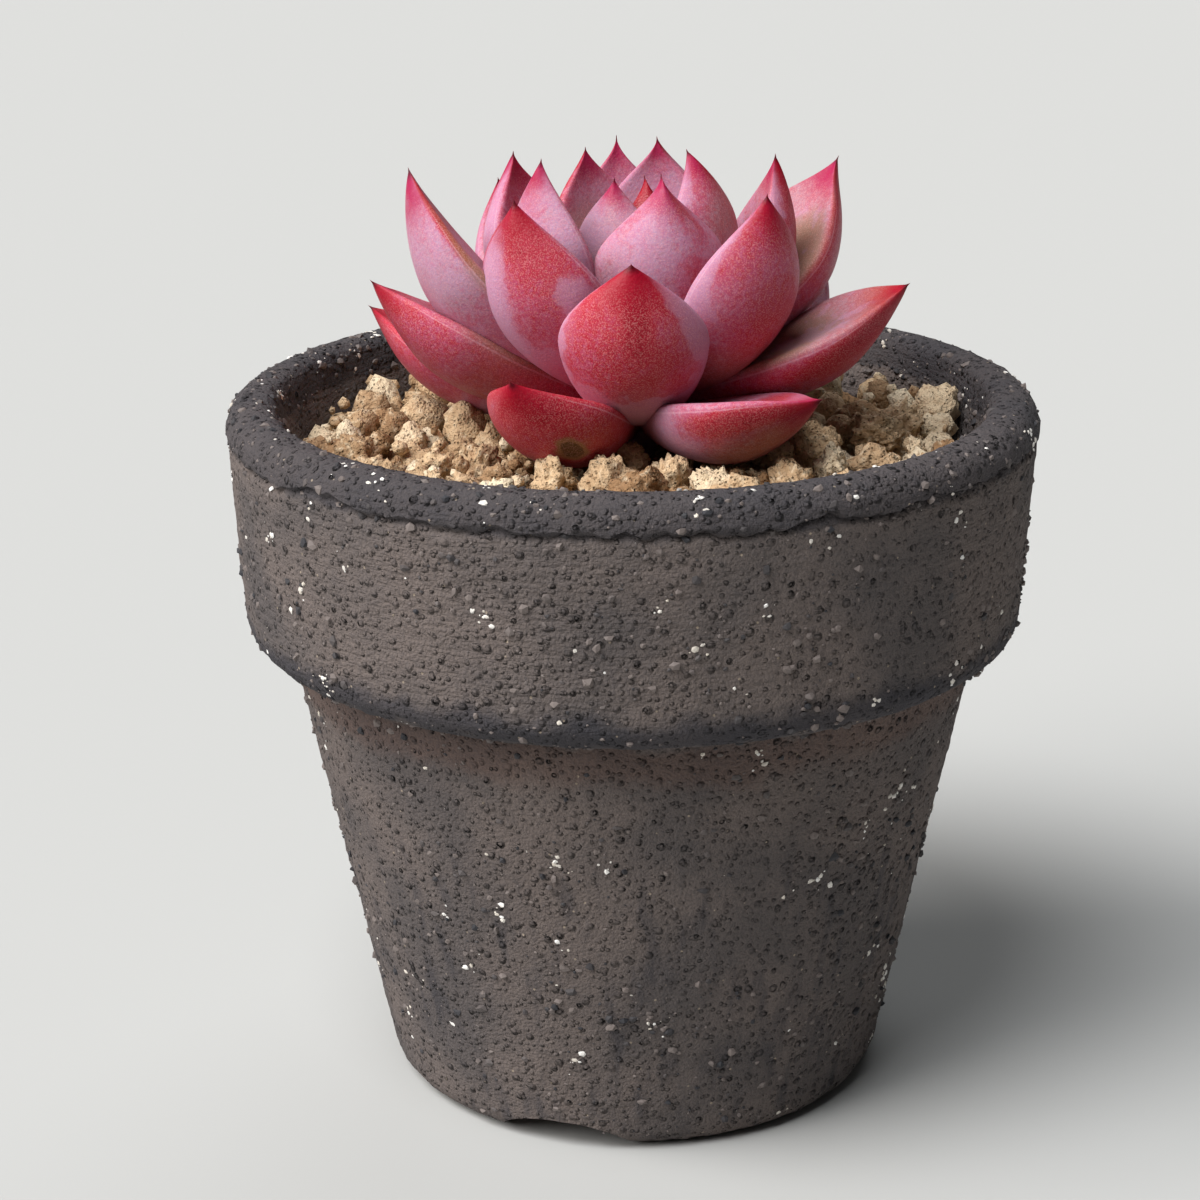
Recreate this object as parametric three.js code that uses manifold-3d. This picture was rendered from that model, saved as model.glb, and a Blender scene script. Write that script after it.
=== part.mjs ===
// A rosette succulent, cubic frost echeveria, planted in a dark grogged stoneware pot.
// Units are millimetres, +Z is up, and the origin is the middle of the pot's foot, on the table.
// The front, where the low red leaf leans out over the rim, faces -Y.

import * as THREE from 'three';
import { mergeVertices } from 'three/addons/utils/BufferGeometryUtils.js';
import Module from 'manifold-3d';

// Driving dimensions of the pot
const RIM_RADIUS = 45;
const POT_HEIGHT = 79.7;
const LIP_ROUNDING = 3;
const LIP_BEAD_DROP = 5.5;
const BAND_TOP_RADIUS = 44.6;
const BAND_FOOT_RADIUS = 43.7;
const BAND_FOOT_HEIGHT = 56.1;
const BODY_TOP_RADIUS = 39.1;
const BODY_TOP_HEIGHT = 52.9;
const FOOT_RADIUS = 28.9;
const FOOT_ROUNDING = 3.5;
const FOOT_RING_INNER_RADIUS = 21.5;
const FOOT_RING_SLOPE = 1;
const FOOT_RECESS = 3.2;
const FLOOR_HEIGHT = 7.2;
const FLOOR_RADIUS = 25;
const FLOOR_FILLET = 2.5;
const MOUTH_RADIUS = 39.3;
const MOUTH_DROP = 1.8;
const WALL_TOP_RADIUS = 38;
const WALL_TOP_HEIGHT = 73;
const DRAIN_RADIUS = 5;
const NOTCH_WIDTH = 15;
const NOTCH_HEIGHT = 3.3;
const NOTCH_FULLNESS = 0.62;
const NOTCH_COUNT = 3;
const FIRST_NOTCH_AZIMUTH = -17;
const POT_SEGMENTS = 40;

// Driving dimensions of what fills the pot
const CLEARANCE = 0.3;
const NET_RADIUS = 12;
const NET_THICKNESS = 0.8;
const NET_PITCH = 3.2;
const NET_OPENING = 1.8;
const NET_ROWS = 5;
const STONES_TOP = 18;
const SOIL_TOP = 67.5;
const GRAVEL_BED_TOP = 72.2;
const GRAIN_COUNT = 95;
const GRAIN_MIN_RADIUS = 4.1;
const GRAIN_MAX_RADIUS = 5.2;
const GRAIN_CLOSENESS = 0.8;
const GRAIN_SHAKES = 60;
const GRAIN_WALL_SHARE = 0.8;
const GRAIN_ROUGHNESS = 0.16;
const GRAIN_LEVEL = 72.8;
const GRAIN_LEVEL_SPREAD = 1.4;
const FILL_CLEARANCE = 0.5;
const FILL_SEGMENTS = 24;

// Driving dimensions of the plant
const STEM_X = 1;
const STEM_Y = -1.5;
const CROWN_HEIGHT = 85;
const NODE_STEP = 0.31;
const CROWN_RADIUS = 0.6;
const STEM_TAPER = 0.11;
const STEM_SEGMENTS = 14;
const STEM_COLLAR = 0.4;
const ROOT_END_HEIGHT = 56;
const ROOT_END_RADIUS = 1.2;
const ROOT_TAPER_LENGTH = 6;
const ROOT_RADIUS = 3.2;
const NECK_LENGTH = 3;
const LEAF_SIDES = 8;
const LEAF_STEPS = 100;
const LEAF_STATIONS = [0, 0.14, 0.32, 0.5, 0.66, 0.79, 0.9, 1];
const WIDEST_AT = 0.62;
const THICKEST_AT = 0.55;
const LEAF_THICKNESS = 0.42;
const BASE_WIDTH = 0.34;
const BASE_DEPTH = 0.42;
const FACE_RISE = 0.2;
const FACE_DIP = 0.07;
const BACK_FULLNESS = 0.8;
const KEEL_SHARPNESS = 0.35;
const CUPPING = 0.22;
const CUP_LEVEL = 0.4;

// Each leaf from the youngest to the oldest: age in leaves since the crown, azimuth from the
// front in degrees (positive to the right), rise above the level at the base and at the tip,
// length, width, twist towards the tip, sharpness of the point, and sideways swing of the tip.
const LEAVES = [
    { age: 0, azimuth: 32, rise: [78, 101], length: 19, width: 8, twist: 0, sharp: 0.78 },
    { age: 1, azimuth: -103, rise: [76, 99], length: 20, width: 9, twist: 0, sharp: 0.8 },
    { age: 2, azimuth: 118, rise: [76, 98], length: 20, width: 9.5, twist: 0, sharp: 0.75 },
    { age: 3, azimuth: -38, rise: [71, 89], length: 20.5, width: 10.7, twist: 2, sharp: 0.64 },
    { age: 4, azimuth: -145, rise: [51, 82], length: 24, width: 11.6, twist: 3, sharp: 0.63 },
    { age: 5, azimuth: 74, rise: [55, 106], length: 24.5, width: 13.4, twist: -4, sharp: 0.66 },
    { age: 6, azimuth: -63, rise: [41, 91], length: 26.5, width: 13, twist: 3, sharp: 0.65 },
    { age: 7, azimuth: 163, rise: [49, 108], length: 25.8, width: 13, twist: 0, sharp: 0.75 },
    { age: 8, azimuth: 14, rise: [46, 99], length: 25, width: 14.2, twist: 1, sharp: 0.82 },
    { age: 9, azimuth: -121, rise: [28, 87], length: 28.5, width: 14.8, twist: -5, sharp: 0.68 },
    { age: 10, azimuth: 92, rise: [39, 85], length: 28, width: 13.9, twist: 9, sharp: 0.77 },
    { age: 11, azimuth: -42, rise: [27, 76], length: 29.5, width: 15.6, twist: 4, sharp: 0.54 },
    { age: 12, azimuth: -170, rise: [39, 86], length: 28.5, width: 13.7, twist: 0, sharp: 0.8 },
    { age: 13, azimuth: 47, rise: [28, 83], length: 29, width: 15, twist: -3, sharp: 0.5 },
    { age: 14, azimuth: -77, rise: [26, 69], length: 35, width: 16, twist: -14, sharp: 0.46 },
    { age: 15, azimuth: 112, rise: [35, 61], length: 32.5, width: 16, twist: 14, sharp: 0.66 },
    { age: 16, azimuth: -3, rise: [13, 77], length: 27.5, width: 15.8, twist: 2, sharp: 0.5 },
    { age: 17, azimuth: -136, rise: [21, 70], length: 30.5, width: 15, twist: 0, sharp: 0.5 },
    { age: 18, azimuth: 74, rise: [20, 35], length: 30.7, width: 14.6, twist: 15, sharp: 0.52 },
    { age: 19, azimuth: -82, rise: [20, 36], length: 30.5, width: 15.5, twist: -7, sharp: 0.52 },
    { age: 20, azimuth: 168, rise: [22, 62], length: 29.5, width: 15.4, twist: 0, sharp: 0.6 },
    { age: 21, azimuth: 22, rise: [15, 10], length: 27.5, width: 15.5, twist: -4, sharp: 0.48, swing: 40 },
    { age: 22, azimuth: -108, rise: [8, 27], length: 31, width: 15.2, twist: 2, sharp: 0.57 },
    { age: 23, azimuth: 130, rise: [16, 42], length: 29, width: 15, twist: 0, sharp: 0.6 },
    { age: 24, azimuth: -32, rise: [9, 34], length: 24.5, width: 15, twist: 4, sharp: 0.5 },
    { age: 25, azimuth: -155, rise: [12, 40], length: 28.5, width: 14.8, twist: 0, sharp: 0.6 },
];
const BUD_LEAVES = 4;
const BUD_AGE_STEP = 0.6;
const BUD_LENGTH = 18;
const BUD_LENGTH_STEP = 1.6;
const BUD_WIDTH = 7.2;
const BUD_WIDTH_STEP = 1.2;
const GOLDEN_ANGLE = 137.5;

const radians = THREE.MathUtils.degToRad;

const wasm = await Module();
wasm.setup();

function seededRandom(seed) {
    let state = seed;
    return () => {
        state = (state + 0x6d2b79f5) | 0;
        let t = Math.imul(state ^ (state >>> 15), 1 | state);
        t = (t + Math.imul(t ^ (t >>> 7), 61 | t)) ^ t;
        return ((t ^ (t >>> 14)) >>> 0) / 4294967296;
    };
}

function welded(geometry) {
    const bare = geometry.clone();
    bare.deleteAttribute('normal');
    bare.deleteAttribute('uv');
    return mergeVertices(bare, 1e-4);
}

function solidFrom(geometry) {
    const closed = welded(geometry);
    return new wasm.Manifold(new wasm.Mesh({
        numProp: 3,
        vertProperties: new Float32Array(closed.attributes.position.array),
        triVerts: new Uint32Array(closed.index.array),
    }));
}

function geometryFrom(solid) {
    const mesh = solid.getMesh();
    const geometry = new THREE.BufferGeometry();
    geometry.setAttribute('position', new THREE.BufferAttribute(new Float32Array(mesh.vertProperties), 3));
    geometry.setIndex(new THREE.BufferAttribute(new Uint32Array(mesh.triVerts), 1));
    return geometry;
}

function largestBody(solid) {
    const bodies = solid.decompose();
    bodies.sort((a, b) => b.volume() - a.volume());
    return bodies[0];
}

// A lathe's profile is given as [radius, height] pairs and turned about the Z axis.
function turned(profile, segments) {
    const points = profile.map(([radius, height]) => new THREE.Vector2(radius, height));
    const geometry = new THREE.LatheGeometry(points, segments);
    geometry.rotateX(Math.PI / 2);
    return geometry;
}

function arcPoints(centre, radius, fromDegrees, toDegrees, steps) {
    const points = [];
    for (let i = 0; i <= steps; i += 1) {
        const angle = radians(fromDegrees + ((toDegrees - fromDegrees) * i) / steps);
        points.push([centre[0] + radius * Math.cos(angle), centre[1] + radius * Math.sin(angle)]);
    }
    return points;
}

function innerWallRadius(height) {
    const t = (height - FLOOR_HEIGHT) / (WALL_TOP_HEIGHT - FLOOR_HEIGHT);
    return THREE.MathUtils.lerp(FLOOR_RADIUS, WALL_TOP_RADIUS, t);
}

// The pot: a tapered body under a wide band, a rounded lip, a foot ring and a drain hole
function potProfile() {
    const bandRounding = BAND_FOOT_HEIGHT - BODY_TOP_HEIGHT;
    const bandFootCentre = [BAND_FOOT_RADIUS - bandRounding, BAND_FOOT_HEIGHT];
    const lipCentre = [RIM_RADIUS - LIP_ROUNDING, POT_HEIGHT - LIP_ROUNDING];
    const mouthCentre = [MOUTH_RADIUS + MOUTH_DROP, POT_HEIGHT - MOUTH_DROP];
    const footCentre = [FOOT_RADIUS - FOOT_ROUNDING, FOOT_ROUNDING];
    return [
        ...arcPoints(footCentre, FOOT_ROUNDING, -90, -8, 4),
        [BODY_TOP_RADIUS, BODY_TOP_HEIGHT],
        ...arcPoints(bandFootCentre, bandRounding, -90, 0, 3),
        [BAND_TOP_RADIUS, POT_HEIGHT - LIP_BEAD_DROP],
        ...arcPoints(lipCentre, LIP_ROUNDING, 0, 90, 4),
        ...arcPoints(mouthCentre, MOUTH_DROP, 90, 180, 2),
        [WALL_TOP_RADIUS, WALL_TOP_HEIGHT],
        [innerWallRadius(BODY_TOP_HEIGHT), BODY_TOP_HEIGHT],
        [innerWallRadius(FLOOR_HEIGHT + FLOOR_FILLET), FLOOR_HEIGHT + FLOOR_FILLET],
        [FLOOR_RADIUS - FLOOR_FILLET, FLOOR_HEIGHT],
        [DRAIN_RADIUS, FLOOR_HEIGHT],
        [DRAIN_RADIUS, FOOT_RECESS],
        [FOOT_RING_INNER_RADIUS - FOOT_RING_SLOPE, FOOT_RECESS],
        [FOOT_RING_INNER_RADIUS, 0],
    ];
}

// An arched tool cuts each notch through the foot ring, from just inside it outwards.
function notchTool(azimuth) {
    const half = NOTCH_WIDTH / 2;
    const shoulder = half * NOTCH_FULLNESS;
    const below = -1;
    const arch = new THREE.Shape();
    arch.moveTo(-half, below);
    arch.lineTo(half, below);
    arch.lineTo(half, 0);
    arch.quadraticCurveTo(shoulder, NOTCH_HEIGHT, 0, NOTCH_HEIGHT);
    arch.quadraticCurveTo(-shoulder, NOTCH_HEIGHT, -half, 0);
    const depth = FOOT_RADIUS;
    const start = FOOT_RING_INNER_RADIUS - 3 * FOOT_RING_SLOPE;
    const geometry = new THREE.ExtrudeGeometry(arch, { depth, bevelEnabled: false, curveSegments: 4 });
    geometry.rotateX(Math.PI / 2);
    geometry.translate(0, -start, 0);
    geometry.rotateZ(radians(azimuth));
    return solidFrom(geometry);
}

function potGeometry() {
    const profile = potProfile();
    let pot = solidFrom(turned([...profile, profile[0]], POT_SEGMENTS));
    for (let i = 0; i < NOTCH_COUNT; i += 1) {
        pot = pot.subtract(notchTool(FIRST_NOTCH_AZIMUTH + (i * 360) / NOTCH_COUNT));
    }
    return geometryFrom(pot);
}

// The net that keeps the stones out of the drain hole
function netGeometry() {
    const disc = new THREE.CylinderGeometry(NET_RADIUS, NET_RADIUS, NET_THICKNESS, 24);
    disc.rotateX(Math.PI / 2);
    const middle = (NET_ROWS - 1) / 2;
    const openings = [];
    for (let row = 0; row < NET_ROWS; row += 1) {
        for (let column = 0; column < NET_ROWS; column += 1) {
            const x = (column - middle) * NET_PITCH;
            const y = (row - middle) * NET_PITCH;
            if (Math.hypot(x, y) < NET_RADIUS - NET_PITCH) {
                const opening = new THREE.BoxGeometry(NET_OPENING, NET_OPENING, NET_THICKNESS * 3);
                opening.translate(x, y, 0);
                openings.push(solidFrom(opening));
            }
        }
    }
    const geometry = geometryFrom(solidFrom(disc).subtract(wasm.Manifold.union(openings)));
    geometry.translate(0, 0, FLOOR_HEIGHT + CLEARANCE + NET_THICKNESS / 2);
    return geometry;
}

// A poured layer fills the pot between two levels, clear of the wall. The lowest one is shaped
// to the pot's rounded floor and makes room for the net.
function fillRadius(height) {
    return innerWallRadius(height) - FILL_CLEARANCE;
}

function layerGeometry(bottom, top) {
    const wall = [[fillRadius(bottom), bottom], [fillRadius(top), top]];
    return turned([[0, bottom], ...wall, [0, top]], FILL_SEGMENTS);
}

function drainageGeometry() {
    const bottom = FLOOR_HEIGHT + CLEARANCE;
    const pocketRadius = NET_RADIUS + CLEARANCE;
    const pocketTop = bottom + NET_THICKNESS + CLEARANCE;
    const filletTop = FLOOR_HEIGHT + FLOOR_FILLET + CLEARANCE;
    return turned([
        [0, pocketTop],
        [pocketRadius, pocketTop],
        [pocketRadius, bottom],
        [FLOOR_RADIUS - FLOOR_FILLET - CLEARANCE, bottom],
        [fillRadius(filletTop), filletTop],
        [fillRadius(STONES_TOP), STONES_TOP],
        [0, STONES_TOP],
    ], FILL_SEGMENTS);
}

// One porous granule: a rough twelve-cornered lump, squashed and turned at random
function grainSolid(grain) {
    const random = seededRandom(grain.seed);
    const between = (low, high) => low + (high - low) * random();
    const geometry = welded(new THREE.IcosahedronGeometry(grain.radius, 0));
    const place = geometry.attributes.position;
    for (let i = 0; i < place.count; i += 1) {
        const stretch = between(1 - GRAIN_ROUGHNESS, 1 + GRAIN_ROUGHNESS);
        place.setXYZ(i, place.getX(i) * stretch, place.getY(i) * stretch, place.getZ(i) * stretch);
    }
    geometry.scale(1, between(0.8, 1.1), between(0.72, 0.92));
    geometry.rotateX(between(0, Math.PI));
    geometry.rotateZ(between(0, Math.PI * 2));
    geometry.translate(grain.spot.x, grain.spot.y, grain.z);
    return solidFrom(geometry);
}

// Granules are dropped at random in the mouth, and then shaken: whichever two lie closer than
// their sizes allow push each other apart, until they share out the room.
function grainPlaces() {
    const random = seededRandom(19);
    const reach = fillRadius(GRAIN_LEVEL);
    const grains = [];
    for (let i = 0; i < GRAIN_COUNT; i += 1) {
        const spot = new THREE.Vector2(1, 0).rotateAround(new THREE.Vector2(), random() * Math.PI * 2);
        spot.multiplyScalar(Math.sqrt(random()) * reach);
        const radius = THREE.MathUtils.lerp(GRAIN_MIN_RADIUS, GRAIN_MAX_RADIUS, random());
        const z = GRAIN_LEVEL + (random() - 0.5) * GRAIN_LEVEL_SPREAD;
        grains.push({ spot, z, radius, seed: Math.floor(random() * 1e6) });
    }
    for (let round = 0; round < GRAIN_SHAKES; round += 1) {
        grains.forEach((grain, i) => {
            grains.slice(i + 1).forEach((other) => {
                const apart = other.spot.clone().sub(grain.spot);
                const room = GRAIN_CLOSENESS * (grain.radius + other.radius);
                const push = Math.max(room - apart.length(), 0) / 2;
                grain.spot.addScaledVector(apart.normalize(), -push);
                other.spot.addScaledVector(apart, push);
            });
            grain.spot.clampLength(0, reach - grain.radius * GRAIN_WALL_SHARE);
        });
    }
    return grains;
}

function gravelSolid() {
    const bed = solidFrom(layerGeometry(SOIL_TOP + CLEARANCE, GRAVEL_BED_TOP));
    const insideOfPot = solidFrom(layerGeometry(SOIL_TOP, POT_HEIGHT));
    const grains = grainPlaces().map(grainSolid);
    return largestBody(wasm.Manifold.union([bed, ...grains]).intersect(insideOfPot));
}

// The leaf: a curved midline with a boat-shaped section, flat above and full below. Both shares
// grow from the leaf's foot to its fullest place and fall off in a smooth curve to the tip.
function widthShare(s, sharp) {
    const grown = Math.min(s / WIDEST_AT, 1) ** 1.3;
    const body = BASE_WIDTH + (1 - BASE_WIDTH) * Math.sin((Math.PI / 2) * grown);
    const past = Math.max((s - WIDEST_AT) / (1 - WIDEST_AT), 0);
    return body * Math.max((1 + Math.cos(Math.PI * past)) / 2, 0) ** sharp;
}

function depthShare(s) {
    const grown = Math.min(s / THICKEST_AT, 1) ** 1.1;
    const body = BASE_DEPTH + (1 - BASE_DEPTH) * Math.sin((Math.PI / 2) * grown);
    const past = Math.max((s - THICKEST_AT) / (1 - THICKEST_AT), 0);
    return body * Math.max((1 + Math.cos(Math.PI * past)) / 2, 0) ** 0.45;
}

// The section is walked round from the right margin over the upper face, which is a little
// cupped between its margins, to the back, which sharpens to a keel towards the tip.
function sectionPoint(leaf, s, angle) {
    const spread = widthShare(s, leaf.sharp) * leaf.width;
    const depth = depthShare(s) * leaf.width * LEAF_THICKNESS;
    const keel = 1 + KEEL_SHARPNESS * Math.max(2 * s - 1, 0);
    const cos = Math.cos(angle);
    const up = Math.max(Math.sin(angle), 0);
    const down = Math.max(-Math.sin(angle), 0);
    const face = FACE_RISE * up ** 0.8 - FACE_DIP * up ** 3;
    const back = BACK_FULLNESS * down ** keel;
    const cup = CUPPING * spread * s * (1 - s) * (cos * cos - CUP_LEVEL);
    return { across: (spread * cos) / 2, lift: depth * (face - back) + cup };
}

function stemRadius(age) {
    return CROWN_RADIUS + STEM_TAPER * age;
}

function nodeHeight(age) {
    return CROWN_HEIGHT - NODE_STEP * age;
}

// Which way the leaf runs, spreads and faces at a share s of its length
function leafDirections(leaf, s) {
    const azimuth = radians(leaf.azimuth + (leaf.swing ?? 0) * s);
    const rise = radians(THREE.MathUtils.lerp(leaf.rise[0], leaf.rise[1], s));
    const outward = new THREE.Vector3(Math.sin(azimuth), -Math.cos(azimuth), 0);
    const up = new THREE.Vector3(0, 0, 1);
    const along = outward.clone().multiplyScalar(Math.cos(rise)).addScaledVector(up, Math.sin(rise));
    const face = outward.clone().multiplyScalar(-Math.sin(rise)).addScaledVector(up, Math.cos(rise));
    const side = new THREE.Vector3(Math.cos(azimuth), Math.sin(azimuth), 0);
    const twist = radians(leaf.twist) * s;
    return { along, side: side.applyAxisAngle(along, twist), face: face.applyAxisAngle(along, twist) };
}

// The midline is stepped out from the stem along those directions.
function leafFrames(leaf) {
    const frames = [];
    const start = radians(leaf.azimuth);
    const place = new THREE.Vector3(
        STEM_X + stemRadius(leaf.age) * Math.sin(start),
        STEM_Y - stemRadius(leaf.age) * Math.cos(start),
        nodeHeight(leaf.age),
    );
    for (let i = 0; i <= LEAF_STEPS; i += 1) {
        const frame = leafDirections(leaf, i / LEAF_STEPS);
        frames.push({ ...frame, place: place.clone() });
        const halfWayOn = leafDirections(leaf, (i + 0.5) / LEAF_STEPS);
        place.addScaledVector(halfWayOn.along, leaf.length / LEAF_STEPS);
    }
    return (s) => frames[Math.round(s * LEAF_STEPS)];
}

// The leaf is a sphere's net drawn out: one pole is the middle of its base, the other its tip.
// With grow above nought the skin stands that far outside the leaf's own.
function leafGeometry(leaf, grow = 0) {
    const rows = LEAF_STATIONS.length;
    const geometry = new THREE.SphereGeometry(1, LEAF_SIDES, rows);
    const place = geometry.attributes.position;
    const frameAt = leafFrames(leaf);
    for (let row = 0; row <= rows; row += 1) {
        const s = LEAF_STATIONS[Math.max(row - 1, 0)];
        const frame = frameAt(s);
        const isPole = row === 0 || row === rows;
        const endGrowth = 1.5 * grow * ((s === 1 ? 1 : 0) - (s === 0 ? 1 : 0));
        const middle = frame.place.clone().addScaledVector(frame.along, endGrowth);
        for (let column = 0; column <= LEAF_SIDES; column += 1) {
            const angle = (-column / LEAF_SIDES) * Math.PI * 2;
            const { across, lift } = sectionPoint(leaf, s, angle);
            const vertex = middle.clone();
            if (!isPole) {
                vertex.addScaledVector(frame.side, across + grow * Math.cos(angle));
                vertex.addScaledVector(frame.face, lift + grow * Math.sin(angle));
            }
            place.setXYZ(row * (LEAF_SIDES + 1) + column, vertex.x, vertex.y, vertex.z);
        }
    }
    return geometry;
}

// The stem: a short cone that the leaves spring from, with the root's neck below it in a plain
// hole in the soil, and the closed bud of the smallest leaves fused on its top
function budLeaves() {
    const leaves = [];
    for (let i = 1; i <= BUD_LEAVES; i += 1) {
        leaves.push({
            age: -i * BUD_AGE_STEP,
            azimuth: LEAVES[0].azimuth + GOLDEN_ANGLE * i,
            rise: [80 + 1.5 * i, 96],
            length: BUD_LENGTH - BUD_LENGTH_STEP * i,
            width: BUD_WIDTH - BUD_WIDTH_STEP * i,
            twist: 0,
            sharp: 0.8,
        });
    }
    return leaves;
}

function stemSolid(grow) {
    const oldest = LEAVES[LEAVES.length - 1].age;
    const profile = [
        [0, ROOT_END_HEIGHT - grow],
        [ROOT_END_RADIUS + grow, ROOT_END_HEIGHT - grow],
        [ROOT_RADIUS + grow, ROOT_END_HEIGHT + ROOT_TAPER_LENGTH],
        [ROOT_RADIUS + grow, nodeHeight(oldest) - NECK_LENGTH],
        [stemRadius(oldest) + STEM_COLLAR + grow, nodeHeight(oldest)],
        [stemRadius(0) + STEM_COLLAR + grow, CROWN_HEIGHT],
        [0, CROWN_HEIGHT + STEM_COLLAR + grow],
    ];
    const geometry = turned(profile, STEM_SEGMENTS);
    geometry.translate(STEM_X, STEM_Y, 0);
    return solidFrom(geometry);
}

// Leaves press on each other at their feet: an older leaf gives way to the younger ones, and to
// the stem, so every leaf stays a body of its own with a hair's breadth round it.
function plantSolids() {
    const bud = budLeaves().map((leaf) => solidFrom(leafGeometry(leaf)));
    const stem = largestBody(wasm.Manifold.union([stemSolid(0), ...bud]));
    const grownBud = budLeaves().map((leaf) => solidFrom(leafGeometry(leaf, CLEARANCE)));
    const taken = [stemSolid(CLEARANCE), ...grownBud];
    const leaves = LEAVES.map((leaf) => {
        const whole = solidFrom(leafGeometry(leaf));
        const solid = largestBody(whole.subtract(wasm.Manifold.union(taken)));
        taken.push(solidFrom(leafGeometry(leaf, CLEARANCE)));
        return solid;
    });
    return { stem, leaves, grown: wasm.Manifold.union(taken) };
}

const potClay = new THREE.MeshStandardMaterial({ color: 0x453f3d, roughness: 0.95, metalness: 0 });
const netPlastic = new THREE.MeshStandardMaterial({ color: 0x1c1d1e, roughness: 0.6, metalness: 0 });
const pumice = new THREE.MeshStandardMaterial({ color: 0xb9b0a0, roughness: 1, metalness: 0 });
const pottingSoil = new THREE.MeshStandardMaterial({ color: 0x3a2c22, roughness: 1, metalness: 0 });
const gravelStone = new THREE.MeshStandardMaterial({ color: 0xb69a72, roughness: 1, metalness: 0 });
const stemGreen = new THREE.MeshStandardMaterial({ color: 0xa08a6c, roughness: 0.7, metalness: 0 });

function leafSkin(share) {
    const colour = new THREE.Color(0xc9a2b4).lerp(new THREE.Color(0xb5323e), share);
    return new THREE.MeshStandardMaterial({ color: colour, roughness: 0.6, metalness: 0 });
}

function named(name, geometry, material) {
    const mesh = new THREE.Mesh(geometry, material);
    mesh.name = name;
    return mesh;
}

const plant = plantSolids();
const gravel = largestBody(gravelSolid().subtract(plant.grown));
const soil = solidFrom(layerGeometry(STONES_TOP + CLEARANCE, SOIL_TOP)).subtract(stemSolid(CLEARANCE));

const group = new THREE.Group();
group.add(named('pot', potGeometry(), potClay));
group.add(named('drainage_net', netGeometry(), netPlastic));
group.add(named('drainage_stones', drainageGeometry(), pumice));
group.add(named('potting_soil', geometryFrom(soil), pottingSoil));
group.add(named('gravel_top_dressing', geometryFrom(gravel), gravelStone));
group.add(named('stem_with_bud', geometryFrom(plant.stem), stemGreen));
plant.leaves.forEach((solid, i) => {
    const name = `leaf_${String(i + 1).padStart(2, '0')}`;
    group.add(named(name, geometryFrom(solid), leafSkin(i / (LEAVES.length - 1))));
});

export default group;
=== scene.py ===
# %% [markdown]
# # A frost echeveria in a dark stoneware pot
# The packed model gives every piece its true size and place. This lesson dresses it: the pot gets
# its gritty clay, the mouth gets its granules, and each leaf gets its own fleshy form and skin.
# The model is loaded first and never moved, so whatever is made later can be measured from it.

# %% Load the packed model
import math
import random
from dataclasses import dataclass

import bmesh
import bpy
from mathutils import Euler, Matrix, Vector, noise
from mathutils.bvhtree import BVHTree


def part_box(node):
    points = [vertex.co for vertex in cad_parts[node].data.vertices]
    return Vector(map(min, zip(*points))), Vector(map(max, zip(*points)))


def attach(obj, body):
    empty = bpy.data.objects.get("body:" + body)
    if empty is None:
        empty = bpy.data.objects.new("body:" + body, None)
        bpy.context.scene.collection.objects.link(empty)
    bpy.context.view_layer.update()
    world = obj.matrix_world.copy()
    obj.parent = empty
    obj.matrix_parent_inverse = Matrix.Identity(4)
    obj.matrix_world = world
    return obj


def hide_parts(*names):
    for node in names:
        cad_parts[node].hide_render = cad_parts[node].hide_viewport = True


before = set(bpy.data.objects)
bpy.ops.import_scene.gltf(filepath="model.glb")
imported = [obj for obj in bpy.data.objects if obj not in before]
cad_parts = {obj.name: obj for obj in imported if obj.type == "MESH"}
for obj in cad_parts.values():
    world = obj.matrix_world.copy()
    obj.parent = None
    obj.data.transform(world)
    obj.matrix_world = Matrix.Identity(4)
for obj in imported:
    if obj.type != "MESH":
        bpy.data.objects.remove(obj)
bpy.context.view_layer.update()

MM = 0.001
print("pieces in the packed model:", len(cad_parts))

# %% [markdown]
# ## The camera
# A likeness starts with the viewpoint. The camera stands in front of the pot, a little above it,
# with a long lens, so that the pot's mouth is a narrow ellipse and the leaves overlap as they
# should. Depth of field stays off.

# %% Place the camera
CAMERA_PLACE = Vector((-0.95, -297.23, 155.2)) * MM
CAMERA_DOWN = math.radians(18.66)
CAMERA_TURN = math.radians(0.54)
CAMERA_ROLL = math.radians(-0.49)
LENS = 82.4


def put(name, data):
    """A new object in the scene, at the origin."""
    item = bpy.data.objects.new(name, data)
    bpy.context.scene.collection.objects.link(item)
    return item


camera_data = bpy.data.cameras.new("camera")
camera_data.lens = LENS
camera = put("camera", camera_data)
camera.matrix_world = (
    Matrix.Translation(CAMERA_PLACE)
    @ Matrix.Rotation(CAMERA_TURN, 4, "Z")
    @ Matrix.Rotation(math.pi / 2 - CAMERA_DOWN, 4, "X")
    @ Matrix.Rotation(CAMERA_ROLL, 4, "Z")
)
bpy.context.scene.camera = camera
print("camera height in mm:", round(CAMERA_PLACE.z / MM, 1))

# %% [markdown]
# ## The light
# Window light comes from the left and a little in front, so leaves and pot glow on their left
# and fall into shade on their right. A sun lamp with a wide angle gives such soft light, and
# unlike a lamp that hangs near, it lights the floor evenly as far as the eye goes. A second one,
# high in front, reaches the granules, and a third, behind, the upper edges of the leaves. The
# world lights little, which keeps the shade deep. Only to the camera it looks as pale as the
# floor, so that the floor seems to have no end.

# %% Hang the lamps
def soft_sun(name, place, strength, width, tint):
    """A sun lamp that shines from where that place lies. Its width is in degrees."""
    data = bpy.data.lights.new(name, "SUN")
    data.energy = strength
    data.angle = math.radians(width)
    data.color = tint
    put(name, data).rotation_euler = Vector(place).to_track_quat("Z", "Y").to_euler()


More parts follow.
